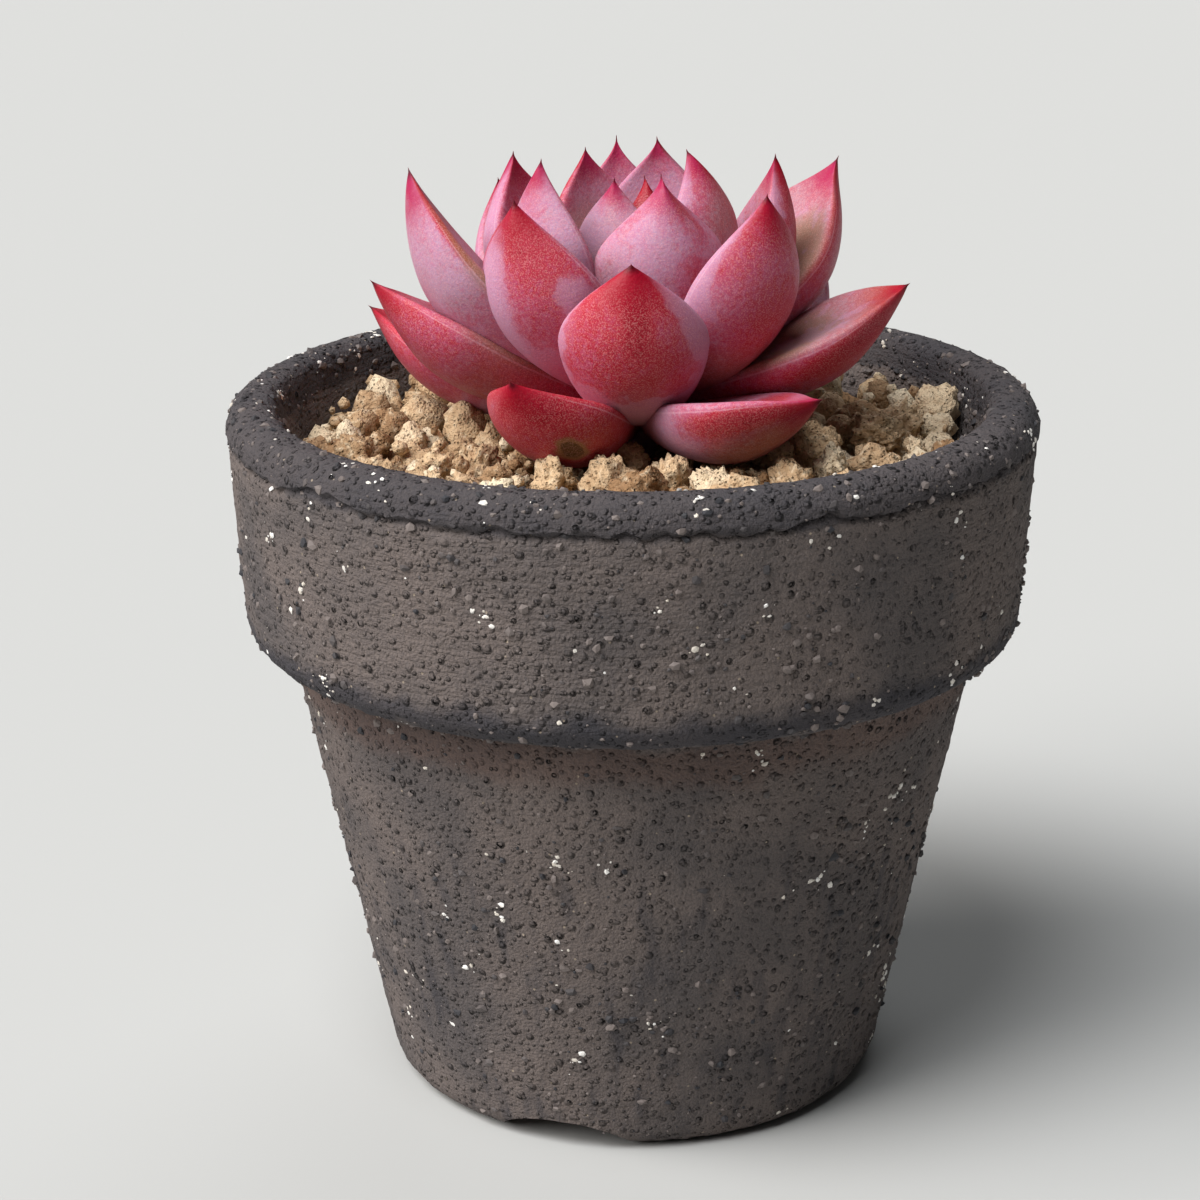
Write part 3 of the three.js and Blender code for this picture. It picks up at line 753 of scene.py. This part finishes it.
LEAVES = [
    Leaf(32, (78, 101), 19, 8, 0, 0.78, back=(1.3, 0, 0), face=(1.2, 0, 0)),
    Leaf(-103, (76, 99), 16.8, 9, 0, 0.8, back=(0.4, 0.4, 0.3)),
    Leaf(118, (76, 98), 16.8, 9.5, 0, 0.75, back=(0.4, 0.4, 0.3)),
    Leaf(-38, (71, 89), 20.5, 10.7, 2, 0.64, back=(0, 0.45, 0.3), marks=(
        (GREEN, 0.35, -90, 0.35, 200, 0.8), (POWDER, 0.8, -120, 0.25, 50, 0.3))),
    Leaf(-145, (51, 82), 24, 11.6, 3, 0.63, back=(0.5, 0.3, 0.1), face=(0.1, 0.4, 0.25), marks=(
        (RED, 0.75, 0, 0.4, 60, 0.5), (GREEN, 0.5, 80, 0.3, 80, 0.7))),
    Leaf(74, (55, 106), 24.5, 13.4, -4, 0.66, back=(0.35, 0.25, 0.2), marks=(
        (POWDER, 0.7, -175, 0.4, 30, 0.6), (GREEN, 0.6, -90, 0.3, 60, 0.5),
        (RED, 0.85, -60, 0.25, 60, 0.3))),
    Leaf(-63, (41, 91), 26.5, 13, 3, 0.65, back=(0.05, 0.6, 0.1), marks=(
        (RED, 0.85, -80, 0.2, 50, 0.4), (GREEN, 0.5, -70, 0.3, 80, 0.3))),
    Leaf(163, (49, 108), 25.8, 13, 0, 0.75, back=(0.5, 0.4, 0.2), face=(0.05, 0.6, 0), marks=(
        (RED, 0.85, 0, 0.2, 30, 0.5), (RED, 0.85, 180, 0.3, 50, 0.7), *BLOOM)),
    Leaf(14, (46, 99), 25, 14.2, 1, 0.82, back=(0.25, 0.45, 0), marks=(
        (RED, 0.83, -50, 0.13, 22, 0.7), (RED, 0.62, -70, 0.1, 22, 0.6),
        (GREEN, 0.62, -70, 0.1, 22, 0.3), (GREEN, 0.6, -150, 0.18, 35, 0.5),
        (POWDER, 0.75, -110, 0.2, 45, 0.25))),
    Leaf(-121, (28, 87), 28.5, 14.8, -5, 0.68, back=(0.35, 0.35, 0), face=(0.45, 0.35, 0.1), marks=(
        (POWDER, 0.7, -15, 0.4, 30, 0.6),)),
    Leaf(92, (39, 85), 28, 13.9, 9, 0.77, back=(0.7, 0.2, 0), marks=(
        (POWDER, 0.7, -170, 0.4, 30, 0.6), (RED, 0.85, -80, 0.3, 60, 0.3))),
    Leaf(-42, (27, 76), 29.5, 15.6, 4, 0.54, back=(0.62, 0.18, 0), marks=(
        (POWDER, 0.64, -122, 0.42, 36, 1.2), (POWDER, 0.38, -100, 0.2, 70, 0.9),
        (POWDER, 0.67, -28, 0.1, 24, 0.8), (RED, 0.8, -40, 0.3, 50, 0.25))),
    Leaf(-170, (39, 86), 28.5, 13.7, 0, 0.8, back=(0.5, 0.4, 0.2), face=(0.1, 0.5, 0), marks=(
        (RED, 0.85, 0, 0.25, 40, 0.5), (RED, 0.85, 180, 0.25, 40, 0.6), *BLOOM)),
    Leaf(47, (28, 83), 29, 15, -3, 0.5, back=(0.6, 0.2, 0), marks=(
        (POWDER, 0.7, 180, 0.35, 22, 0.6), (RED, 0.57, -85, 0.2, 50, 0.45),
        (GREEN, 0.34, -100, 0.22, 90, 0.7), (POWDER, 0.62, -165, 0.12, 30, 0.5))),
    Leaf(-77, (26, 69), 35, 16, -4, 0.46, back=(0.05, 0.5, 0), face=(0.3, 0.2, 0.45), marks=(
        (RED, 0.86, 4, 0.2, 16, 1.1), (POWDER, 0.86, 4, 0.2, 14, -0.4),
        (GREEN, 0.6, 5, 0.25, 24, 0.6), (RED, 0.5, -30, 0.16, 60, 0.5))),
    # On this leaf the olive mark on the face at 0.55 is painted shade, where the neighbouring leaf
    # shades it. The olive in its face tone is partly the leaf's own colour, partly painted shade.
    Leaf(112, (35, 61), 32.5, 16, 14, 0.66, back=(0.65, 0.2, 0.05), face=(0.15, 0.35, 0.45), marks=(
        (GREEN, 0.55, 120, 0.28, 60, 1.0), (RED, 0.75, 172, 0.35, 20, 0.9),
        (POWDER, 0.6, -20, 0.4, 34, 0.8), (POWDER, 0.36, -90, 0.26, 90, 0.8))),
    Leaf(-3, (13, 77), 27.5, 15.8, 2, 0.43, foot=0.45, back=(0.8, 0.05, 0), marks=(
        (POWDER, 0.36, -100, 0.26, 110, 1.0), (POWDER, 0.72, -14, 0.3, 38, 0.85),
        (POWDER, 0.62, -174, 0.24, 30, 0.7), (RED, 0.9, -84, 0.22, 20, 1.1),
        (RED, 0.62, -80, 0.2, 50, 0.25))),
    Leaf(-136, (21, 70), 30.5, 15, 0, 0.5, back=(0.6, 0.25, 0.05), marks=BLOOM),
    Leaf(74, (20, 35), 30.7, 14.6, 15, 0.52, back=(0.75, 0.15, 0.1), face=(0.3, 0.3, 0.55), marks=(
        (GREEN, 0.5, 110, 0.25, 80, 0.7), (RED, 0.95, 90, 0.2, 120, 0.6),
        (RED, 0.8, -155, 0.35, 30, 0.6), (POWDER, 0.6, 110, 0.3, 60, 0.3))),
    Leaf(-82, (20, 36), 30.5, 15.5, 8, 0.52, back=(0.7, 0.1, 0), face=(0.5, 0.1, 0.3), marks=(
        (GREEN, 0.45, 0, 0.25, 120, 0.5), (POWDER, 0.4, -50, 0.15, 60, 0.3))),
    Leaf(168, (22, 62), 29.5, 15.4, 0, 0.6, back=(0.55, 0.2, 0.1), marks=BLOOM),
    Leaf(22, (9, 16), 27.5, 15.5, -10, 0.48, 40, back=(0.5, 0.15, 0.2), face=(0.4, 0.35, 0), marks=(
        (POWDER, 0.4, -140, 0.25, 70, 0.8), (RED, 0.78, -160, 0.3, 24, 0.9),
        (GREEN, 0.75, -100, 0.3, 50, 0.5), (RED, 0.68, 75, 0.12, 50, 0.8),
        (POWDER, 0.68, 75, 0.12, 50, -0.4))),
    Leaf(-108, (8, 27), 31, 15.2, 2, 0.57, back=(0.75, 0.15, 0), face=(0.8, 0.15, 0.1), marks=(
        (POWDER, 0.36, -90, 0.26, 90, 0.8), (POWDER, 0.6, -165, 0.3, 24, 0.5))),
    Leaf(130, (16, 42), 29, 15, 0, 0.6, back=(0.8, 0.1, 0.05), marks=BLOOM),
    Leaf(-32, (3, 40), 24.5, 15, 4, 0.5, back=(0.95, 0, 0), face=(1.0, 0.1, 0), marks=(
        (GREEN, 0.66, -57, 0.09, 13, 2.4), (GREEN, 0.62, -50, 0.2, 40, 0.3),
        (RED, 0.9, -40, 0.15, 50, 0.4), (POWDER, 0.82, -150, 0.15, 25, 0.4))),
    Leaf(-155, (12, 40), 28.5, 14.8, 0, 0.6, back=(0.7, 0.15, 0.1), marks=BLOOM),
]
print("leaves in the table:", len(LEAVES))

# %% [markdown]
# These helpers give a leaf's width and depth along its length, the way it runs, and the place of
# any point on its skin. After them come the measures that every point carries for the finish.

# %% The form of a leaf
LEAF_SIDES = 48
LEAF_ROWS = 60
MIDLINE_STEPS = 120
WIDEST_AT = 0.62
THICKEST_AT = 0.55
THICKNESS = 0.42
FACE_RISE = 0.2
FACE_DIP = 0.07
BACK_FULLNESS = 0.8
CUPPING = 0.22
BODY_SHARE = 0.99
POINT_WIDTH = 0.26
POINT_FROM = 0.93
TIP_PINCH = 0.14
PINCH_FROM = 0.86
PINCH_REACH = 0.12
DEPTH_AT_FOOT = 0.42
KEEL_EDGE = 0.35


def share_at(s, base, fullest, early, late):
    """The leaf's width or depth at s as a share of its fullest."""
    body = base + (1 - base) * math.sin(math.pi / 2 * min(s / fullest, 1) ** early)
    past = max((s - fullest) / (1 - fullest), 0)
    return body * max((1 + math.cos(math.pi * past)) / 2, 0) ** late


def leaf_frames(leaf, age):
    """The midline's places and its along, side and face directions, evenly spaced."""
    frames = []
    radius = CROWN_RADIUS + STEM_TAPER * age
    start = math.radians(leaf.azimuth)
    height = CROWN_HEIGHT - NODE_STEP * age
    place = STEM + Vector((radius * math.sin(start), -radius * math.cos(start), height))
    low, high = leaf.rise
    up = Vector((0, 0, 1))
    for i in range(MIDLINE_STEPS + 1):
        s = i / MIDLINE_STEPS
        turn = math.radians(leaf.azimuth + leaf.swing * s)
        lift = math.radians(low + (high - low) * s)
        out = Vector((math.sin(turn), -math.cos(turn), 0))
        along = out * math.cos(lift) + up * math.sin(lift)
        face = up * math.cos(lift) - out * math.sin(lift)
        roll = Matrix.Rotation(math.radians(leaf.twist) * s, 3, along)
        side = roll @ Vector((math.cos(turn), math.sin(turn), 0))
        frames.append((place.copy(), along, side, roll @ face))
        place = place + along * (leaf.length / MIDLINE_STEPS)
    return frames


def leaf_point(frames, s, angle, leaf):
    """A place on the skin: s runs along the leaf, and angle round it from the right margin.
    The fleshy body ends a little short of the tip, and a fine dry point goes on from there."""
    body = min(s / BODY_SHARE, 1)
    point = POINT_WIDTH * min((1 - s) / (1 - POINT_FROM), 1) ** 0.5
    pinch = 1 - TIP_PINCH * min(max((s - PINCH_FROM) / PINCH_REACH, 0), 1) ** 1.5
    spread = max(leaf.width * pinch * share_at(body, leaf.foot, WIDEST_AT, 1.3, leaf.sharp), point)
    thick = leaf.width * THICKNESS
    depth = max(thick * share_at(body, DEPTH_AT_FOOT, THICKEST_AT, 1.1, 0.45), point)
    across = math.cos(angle)
    up = max(math.sin(angle), 0)
    down = max(-math.sin(angle), 0)
    keel = 1 + KEEL_EDGE * max(2 * s - 1, 0)
    lift = FACE_RISE * (1 - (1 - up) ** 3) - FACE_DIP * up ** 3 - BACK_FULLNESS * down ** keel
    cup = CUPPING * spread * s * (1 - s) * (across * across - 0.4)
    step = min(s * MIDLINE_STEPS, MIDLINE_STEPS - 1e-6)
    place, along, side, face = frames[int(step)]
    middle = place.lerp(frames[int(step) + 1][0], step % 1)
    return middle + side * (spread * across / 2) + face * (depth * lift + cup)


print("points on a midline:", len(leaf_frames(LEAVES[0], 0)))


# %% The measures on its skin
def skin_tones(leaf, s, angle):
    """How red, powdery and olive the skin is at a place on the leaf."""
    upper = min(max(math.sin(angle) * 3 + 0.5, 0), 1)
    tones = [low + (high - low) * upper for low, high in zip(leaf.back, leaf.face)]
    for tone, at, round_at, reach, spread, amount in leaf.marks:
        turned = (math.degrees(angle) - round_at + 180) % 360 - 180
        near = 1 - ((s - at) / reach) ** 2 - (turned / spread) ** 2
        tones[tone] += amount * max(near, 0)
    return tones


def grow_leaf(shape, leaf, age):
    """Adds one leaf to the bmesh and writes its measures on every point: where on the leaf the
    point is, and what tones the skin has there. The rows lie closer together near the tip."""
    form = shape.verts.layers.float_vector["form"]
    skin = shape.verts.layers.float_vector["skin"]
    frames = leaf_frames(leaf, age)
    born = bmesh.ops.create_uvsphere(shape, u_segments=LEAF_SIDES, v_segments=LEAF_ROWS, radius=1)
    for vert in born["verts"]:
        x, y, z = vert.co
        row = (1 - math.acos(min(max(z, -1), 1)) / math.pi) * LEAF_ROWS
        s = max(row - 1, 0) / (LEAF_ROWS - 1)
        s = 1 - (1 - s) ** 1.2
        angle = math.atan2(y, x)
        place = leaf_point(frames, s, angle, leaf)
        if row < 0.5:
            place = frames[0][0]
        vert[form] = (s, math.cos(angle), math.sin(angle))
        vert[skin] = skin_tones(leaf, s, angle)
        wave = 0.1 * noise.noise(place / 5 + Vector((age, 0, 0)))
        vert.co = (place + frames[int(s * MIDLINE_STEPS)][3] * wave) * MM


def leaf_bmesh():
    shape = bmesh.new()
    shape.verts.layers.float_vector.new("form")
    shape.verts.layers.float_vector.new("skin")
    return shape


print("points in one leaf:", LEAF_SIDES * (LEAF_ROWS - 1) + 2)

# %% [markdown]
# ## The skin of a leaf
# A cool spell turns this plant red. The outer leaves blush coral, the inner ones stay pale and
# pinkish, and all of them end in a crimson point. A pale powder lies on the skin, thicker near
# the margins and where no finger or drop has rubbed it. Every leaf is painted by one recipe, which
# reads two sets of measures from the mesh: where on the leaf a point is, and how red, powdery and
# olive that leaf is.

# %% The leaf skin's recipe
DUSK = colour(184, 136, 158)
ROSE = colour(182, 76, 108)
CORAL = colour(178, 36, 56)
CRIMSON = colour(156, 2, 34)
MAGENTA = colour(166, 20, 74)
WINE = colour(64, 6, 20)
OLIVE = colour(142, 112, 74)
SCAR = colour(72, 54, 26)
FARINA = colour(190, 152, 184)
# The margins' own paler skin, and a painted highlight where the rim catches the light.
PALE_MARGIN_AND_HIGHLIGHT = colour(226, 190, 206)
FLECK = colour(236, 172, 168)


def leaf_finish():
    leaf = Finish("leaf_skin", 0.5)
    along, _, upward = leaf.measure("form")
    red, powder, olive = leaf.measure("skin")
    upward = leaf.maths("ABSOLUTE", upward)
    drift = leaf.minus(leaf.noise(5, 3), 0.5)
    ragged = leaf.minus(leaf.noise(1.8, 5), 0.5)
    mottle = leaf.minus(leaf.noise(0.5, 4), 0.5)

    blush = leaf.plus(red, leaf.step(along, 0.6, 1.0, 0, 0.38))
    for cloud, amount in [(drift, 0.5), (ragged, 0.5), (mottle, 1.2)]:
        blush = leaf.plus(blush, leaf.times(cloud, amount))
    skin = leaf.blend(leaf.step(blush, 0.0, 0.7), DUSK, ROSE)
    skin = leaf.blend(leaf.step(blush, 0.5, 1.15), skin, CORAL)
    skin = leaf.blend(leaf.step(blush, 1.1, 1.8), skin, CRIMSON)
    green = leaf.plus(olive, leaf.times(drift, 0.4))
    skin = leaf.blend(leaf.step(green, 0.1, 1.1, 0, 0.85), skin, OLIVE)
    scarred = leaf.plus(green, ragged)
    skin = leaf.blend(leaf.step(scarred, 1.3, 1.7, 0, 0.8), skin, SCAR)

    crust = leaf.plus(powder, leaf.times(ragged, 1.3))
    crisp = leaf.step(crust, 0.42, 0.6, 0, 0.3)
    veil = leaf.plus(crisp, leaf.step(leaf.plus(powder, drift), 0.0, 1.3, 0, 0.4))
    skin = leaf.blend(veil, skin, FARINA)

    reach = leaf.plus(along, leaf.times(leaf.plus(drift, ragged), 0.12))
    reach = leaf.plus(reach, leaf.times(upward, 0.07))
    flush = leaf.blend(leaf.step(red, 0.2, 0.7), MAGENTA, CRIMSON)
    skin = leaf.blend(leaf.step(reach, 0.86, 1.0, 0, 0.95), skin, flush)
    skin = leaf.blend(leaf.step(along, 0.955, 0.988, 0, 0.9), skin, WINE)
    # A thin pale line along the margins that fades out towards the tip: partly the margin's own
    # paler skin, partly a painted highlight where the margin catches the light.
    line = leaf.step(upward, 0.04, 0.01, 0, 0.25)
    line = leaf.times(line, leaf.step(along, 0.92, 0.75))
    skin = leaf.blend(line, skin, PALE_MARGIN_AND_HIGHLIGHT)

    dots = leaf.step(leaf.noise(0.14, 2), 0.45, 0.66, 0, 0.3)
    dots = leaf.times(dots, leaf.step(along, 0.97, 0.82))
    skin = leaf.blend(dots, skin, FLECK)
    leaf.set("Base Color", skin)
    leaf.set("Roughness", leaf.plus(0.45, leaf.times(veil, 0.35)))
    leaf.set("Normal", leaf.bump(leaf.noise(0.3, 2), 0.06))
    leaf.set("Subsurface Weight", 0.2)
    leaf.set("Subsurface Radius", (1.0, 0.3, 0.25))
    leaf.set("Subsurface Scale", 1.0 * MM)
    leaf.set("Specular IOR Level", 0.22)
    return leaf


leaf_skin = leaf_finish()
print("leaf skin mixed, nodes:", len(leaf_skin.tree.nodes))

# %% [markdown]
# The rosette grows from the inside out. Each piece stands for the model's leaf of that number.

leaf_pieces = []
for age, leaf in enumerate(LEAVES):
    node = f"leaf_{age + 1:02d}"
    shape = leaf_bmesh()
    grow_leaf(shape, leaf, age)
    leaf_pieces.append(make_piece(mesh_of(shape), node + "_skin", leaf_skin, [node]))

# %% [markdown]
# ## The bud and the stem
# The youngest leaves stand closed on the tip of the stem, so the bud and the stem are one piece.
# The stem itself is a short cone with the root's neck below it, spun from its outline.

# %% Close the bud on the stem
BUD_LEAVES = 4
GOLDEN_ANGLE = 137.5
NECK_RADIUS = 3.2
NECK_FOOT = 56
STEM_SIDES = 32


def add_stem(shape):
    oldest = len(LEAVES) - 1
    low = CROWN_HEIGHT - NODE_STEP * oldest
    outline = [
        (0, NECK_FOOT),
        (NECK_RADIUS - 2, NECK_FOOT),
        (NECK_RADIUS, NECK_FOOT + 6),
        (NECK_RADIUS, low - 3),
        (CROWN_RADIUS + STEM_TAPER * oldest + 0.4, low),
        (CROWN_RADIUS + 0.4, CROWN_HEIGHT),
        (0, CROWN_HEIGHT + 0.4),
    ]
    spin_line(shape, finely(outline, 1.0), STEM, STEM_SIDES, closed=False)
    bmesh.ops.remove_doubles(shape, verts=shape.verts, dist=0.01 * MM)
    bmesh.ops.recalc_face_normals(shape, faces=shape.faces)


bud_shape = leaf_bmesh()
add_stem(bud_shape)
for i in range(1, BUD_LEAVES + 1):
    bud_leaf = Leaf(
        LEAVES[0].azimuth + GOLDEN_ANGLE * i, (80 + 1.5 * i, 96), 16 - 2 * i, 7.2 - 1.2 * i,
        sharp=0.8, back=(0.9, 0.2, 0.3), face=(0.8, 0.2, 0.3),
    )
    grow_leaf(bud_shape, bud_leaf, -0.6 * i)
bud = make_piece(mesh_of(bud_shape), "stem_and_bud", leaf_skin, ["stem_with_bud"])

# %% [markdown]
# ## The granules
# Porous tan granules cover the soil. They lie as poured: each one is dropped on those below it,
# at the lowest of a few random spots, so the heap stays level and each one rests on others.
# A granule that would sit in a leaf or the stem is left out. Every one is a ball bent into a rough
# lump with its own tint. Only the stones that show best are fine balls. The hundreds of others
# have 80 faces or 20.

# %% Find the room for the granules
GRAVEL_FLOOR = 68.5
LEVEL_AT_WALL = 75.6
LEVEL_AT_STEM = 76.6
HEAP_REACH = 30
INSIDE_AT_FLOOR = 25


def leaf_tree():
    """All leaves and the stem as one tree, to ask how near the plant is."""
    verts, faces = [], []
    for piece in leaf_pieces + [bud]:
        start = len(verts)
        verts += [vert.co / MM for vert in piece.data.vertices]
        faces += [[start + i for i in face.vertices] for face in piece.data.polygons]
    return BVHTree.FromPolygons(verts, faces)


def wall_radius(height):
    """How far the pot's wall is from the axis inside, at that height."""
    share = (height - FLOOR_LEVEL) / (WALL_TOP[1] - FLOOR_LEVEL)
    return INSIDE_AT_FLOOR + (WALL_TOP[0] - INSIDE_AT_FLOOR) * share


def heap_level(x, y):
    """How high a granule's middle may lie: the heap is a little higher round the plant."""
    share = min(math.hypot(x, y) / HEAP_REACH, 1)
    return LEVEL_AT_STEM + (LEVEL_AT_WALL - LEVEL_AT_STEM) * share


plant = leaf_tree()
print("wall's radius at their foot:", round(wall_radius(GRAVEL_FLOOR), 1))

# %% Pour the granules
GRANULE_SMALL = 1.35
GRANULE_LARGE = 3.1
CRUMB_SMALL = 0.45
CRUMB_LARGE = 1.1
CRUMBS = 420
SETTLED = 0.86
OFF_WALL = 0.95
OFF_PLANT = 0.8
GRANULE_TRIES = 14
CRUMB_TRIES = 3
MISSES_ALLOWED = 60


def drop_height(granules, x, y, radius):
    height = GRAVEL_FLOOR
    for gx, gy, gz, other in granules:
        reach = (radius + other) * SETTLED
        apart = (gx - x) ** 2 + (gy - y) ** 2
        if apart < reach * reach:
            height = max(height, gz + math.sqrt(reach * reach - apart))
    return height


def drop(granules, chance, radius, tries):
    """Drops one granule on the lowest of a few random spots. False where it doesn't fit."""
    spots = []
    for _ in range(tries):
        far = math.sqrt(chance.random()) * (wall_radius(WALL_TOP[1]) - radius * OFF_WALL)
        turn = chance.uniform(0, 2 * math.pi)
        x, y = far * math.cos(turn), far * math.sin(turn)
        spots.append((drop_height(granules, x, y, radius), x, y))
    z, x, y = min(spots)
    near = plant.find_nearest(Vector((x, y, z)))[3]
    if z > heap_level(x, y) or near < radius * OFF_PLANT:
        return False
    granules.append((x, y, z, radius))
    return True


def pour(chance):
    granules = []
    misses = 0
    while misses < MISSES_ALLOWED:
        radius = GRANULE_SMALL + (GRANULE_LARGE - GRANULE_SMALL) * chance.random() ** 1.5
        misses += not drop(granules, chance, radius, GRANULE_TRIES)
    large = len(granules)
    for _ in range(CRUMBS):
        drop(granules, chance, chance.uniform(CRUMB_SMALL, CRUMB_LARGE), CRUMB_TRIES)
    print("granules and crumbs:", large, len(granules) - large)
    return granules


granules = pour(random.Random(11))

# %% Shape the granules
STONE_TAN = colour(206, 176, 140)
STONE_PALE = colour(232, 214, 184)
STONE_BROWN = colour(152, 118, 86)
STONE_PORE = colour(86, 60, 38)
FINEST = 70
FINE = 170
LARGE_STONE = 1.2

# How fine each set of knobs is, and how far it stands out.
KNOBS = [(2.4, 1.0), (5.0, 0.6), (9.0, 0.4)]


def stone_finish():
    stone = Finish("porous_stone", 0.95)
    tint = stone.measure("tint")[0]
    base = stone.blend(stone.step(tint, 0.1, 0.6), STONE_BROWN, STONE_TAN)
    base = stone.blend(stone.step(tint, 0.6, 1.0), base, STONE_PALE)
    dust = stone.noise(1.0, 4)
    base = stone.blend(stone.step(dust, 0.5, 0.75, 0, 0.6), base, STONE_PALE)
    base = stone.blend(stone.step(dust, 0.45, 0.25, 0, 0.7), base, STONE_BROWN)
    pores = stone.cells(0.5)
    base = stone.blend(stone.step(pores, 0.22, 0.05, 0, 0.6), base, STONE_PORE)
    stone.set("Base Color", base)
    rough = stone.bump(stone.noise(1.1, 5), 0.8)
    rough = stone.bump(stone.noise(0.4, 3), 0.35, rough)
    stone.set("Normal", stone.bump(stone.step(pores, 0.05, 0.35), 0.25, rough))
    stone.set("Specular IOR Level", 0.15)
    return stone


def lump_rule(chance, granule):
    """A rule that bends a ball into one rough stone in its place."""
    x, y, z, radius = granule
    centre = Vector((x, y, z))
    drift = Vector([chance.uniform(0, 100) for _ in range(3)])
    turn = tumbled(chance)
    squash = Matrix.Diagonal((1, chance.uniform(0.75, 1), chance.uniform(0.65, 0.9)))
    form = turn @ squash * radius

    def bend(point):
        swell = 0.98 + 0.36 * noise.noise(point * 1.3 + drift)
        knobs = sum(abs(noise.noise(point * size + drift)) * share for size, share in KNOBS)
        return centre + form @ point * (swell + 0.55 * (knobs - 0.32))

    return bend


def shape_granules(granules, chance):
    """The large stones on top in front show best, so they get the finest balls."""
    balls = {level: ball(level) for level in (1, 2, 3, 4)}
    seen = sorted(granules, key=lambda g: g[1] * 0.12 - g[2] - 3 * (g[3] > LARGE_STONE))
    rank = {granule: number for number, granule in enumerate(seen)}
    crowd = Crowd()
    for granule in granules:
        place = rank[granule]
        level = 2 if granule[3] > LARGE_STONE else 1
        if place < FINE:
            level = 4 if place < FINEST else 3
        tint = (chance.random() ** 0.8, 0, 0)
        crowd.add(balls[level], lump_rule(chance, granule), tint)
    return crowd.mesh()


granule_stone = stone_finish()
make_piece(
    shape_granules(granules, random.Random(23)), "gravel_granules", granule_stone,
    ["gravel_top_dressing"],
)

# %% [markdown]
# Under the granules lies the fine crushed stone that has sifted down. A round grid with a rough
# skin closes the gaps between them, so that no one looks through to the soil.

# %% Lay the crushed stone under them
BED_FOOT = 69
BED_LEVEL = 69.6
BED_THICKNESS = 0.9
BED_SQUARES = 90
BED_TINT = (0.15, 0, 0)


def crushed_bed():
    """A square grid, pulled round and made rough."""
    shape = bmesh.new()
    tint = shape.verts.layers.float_vector.new("tint")
    wall = wall_radius(BED_FOOT)
    reach = wall - 0.4
    bmesh.ops.create_grid(shape, x_segments=BED_SQUARES, y_segments=BED_SQUARES, size=wall * MM)
    for vert in shape.verts:
        square = max(abs(vert.co.x), abs(vert.co.y)) / (wall * MM)
        flat = Vector((vert.co.x, vert.co.y, 0))
        place = flat.normalized() * reach * square if square > 0 else Vector()
        lift = BED_LEVEL + 1.2 * noise.noise(place / 1.6) + 0.5 * noise.noise(place / 0.7)
        vert.co = Vector((place.x, place.y, lift)) * MM
        vert[tint] = BED_TINT
    everything = shape.faces[:] + shape.edges[:] + shape.verts[:]
    bmesh.ops.solidify(shape, geom=everything, thickness=BED_THICKNESS * MM)
    bmesh.ops.recalc_face_normals(shape, faces=shape.faces)
    return shape


make_piece(mesh_of(crushed_bed()), "crushed_stone", granule_stone)

# %% [markdown]
# ## What lies inside
# The net, the drainage stones and the soil are right as the model has them, and hardly show: a
# look through the drain hole from below finds the net. They still get finishes of their own.

# %% Finish the hidden pieces
NET_BLACK = colour(22, 23, 24)
NET_GREY = colour(38, 39, 40)
PUMICE_SHADE = colour(120, 112, 100)
PUMICE_PALE = colour(196, 190, 176)
SOIL_DARK = colour(38, 28, 22)
SOIL_BROWN = colour(84, 64, 48)

net = Finish("net_plastic", 0.55)
net.set("Base Color", net.blend(net.noise(2), NET_BLACK, NET_GREY))
pumice = Finish("pumice", 0.95)
stones = pumice.cells(3.0)
pumice.set("Base Color", pumice.blend(pumice.step(stones, 0.1, 0.5), PUMICE_SHADE, PUMICE_PALE))
pumice.set("Normal", pumice.bump(stones, 0.8))
soil = Finish("potting_soil", 0.98)
clods = soil.step(soil.noise(1.2, 4), 0.4, 0.65)
soil.set("Base Color", soil.blend(clods, SOIL_DARK, SOIL_BROWN))
soil.set("Normal", soil.bump(soil.noise(1.0, 4), 0.8))
hidden = {"drainage_net": net, "drainage_stones": pumice, "potting_soil": soil}
for node, finish in hidden.items():
    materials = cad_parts[node].data.materials
    materials.clear()
    materials.append(finish.material)
print("hidden pieces finished:", len(hidden))

# %% [markdown]
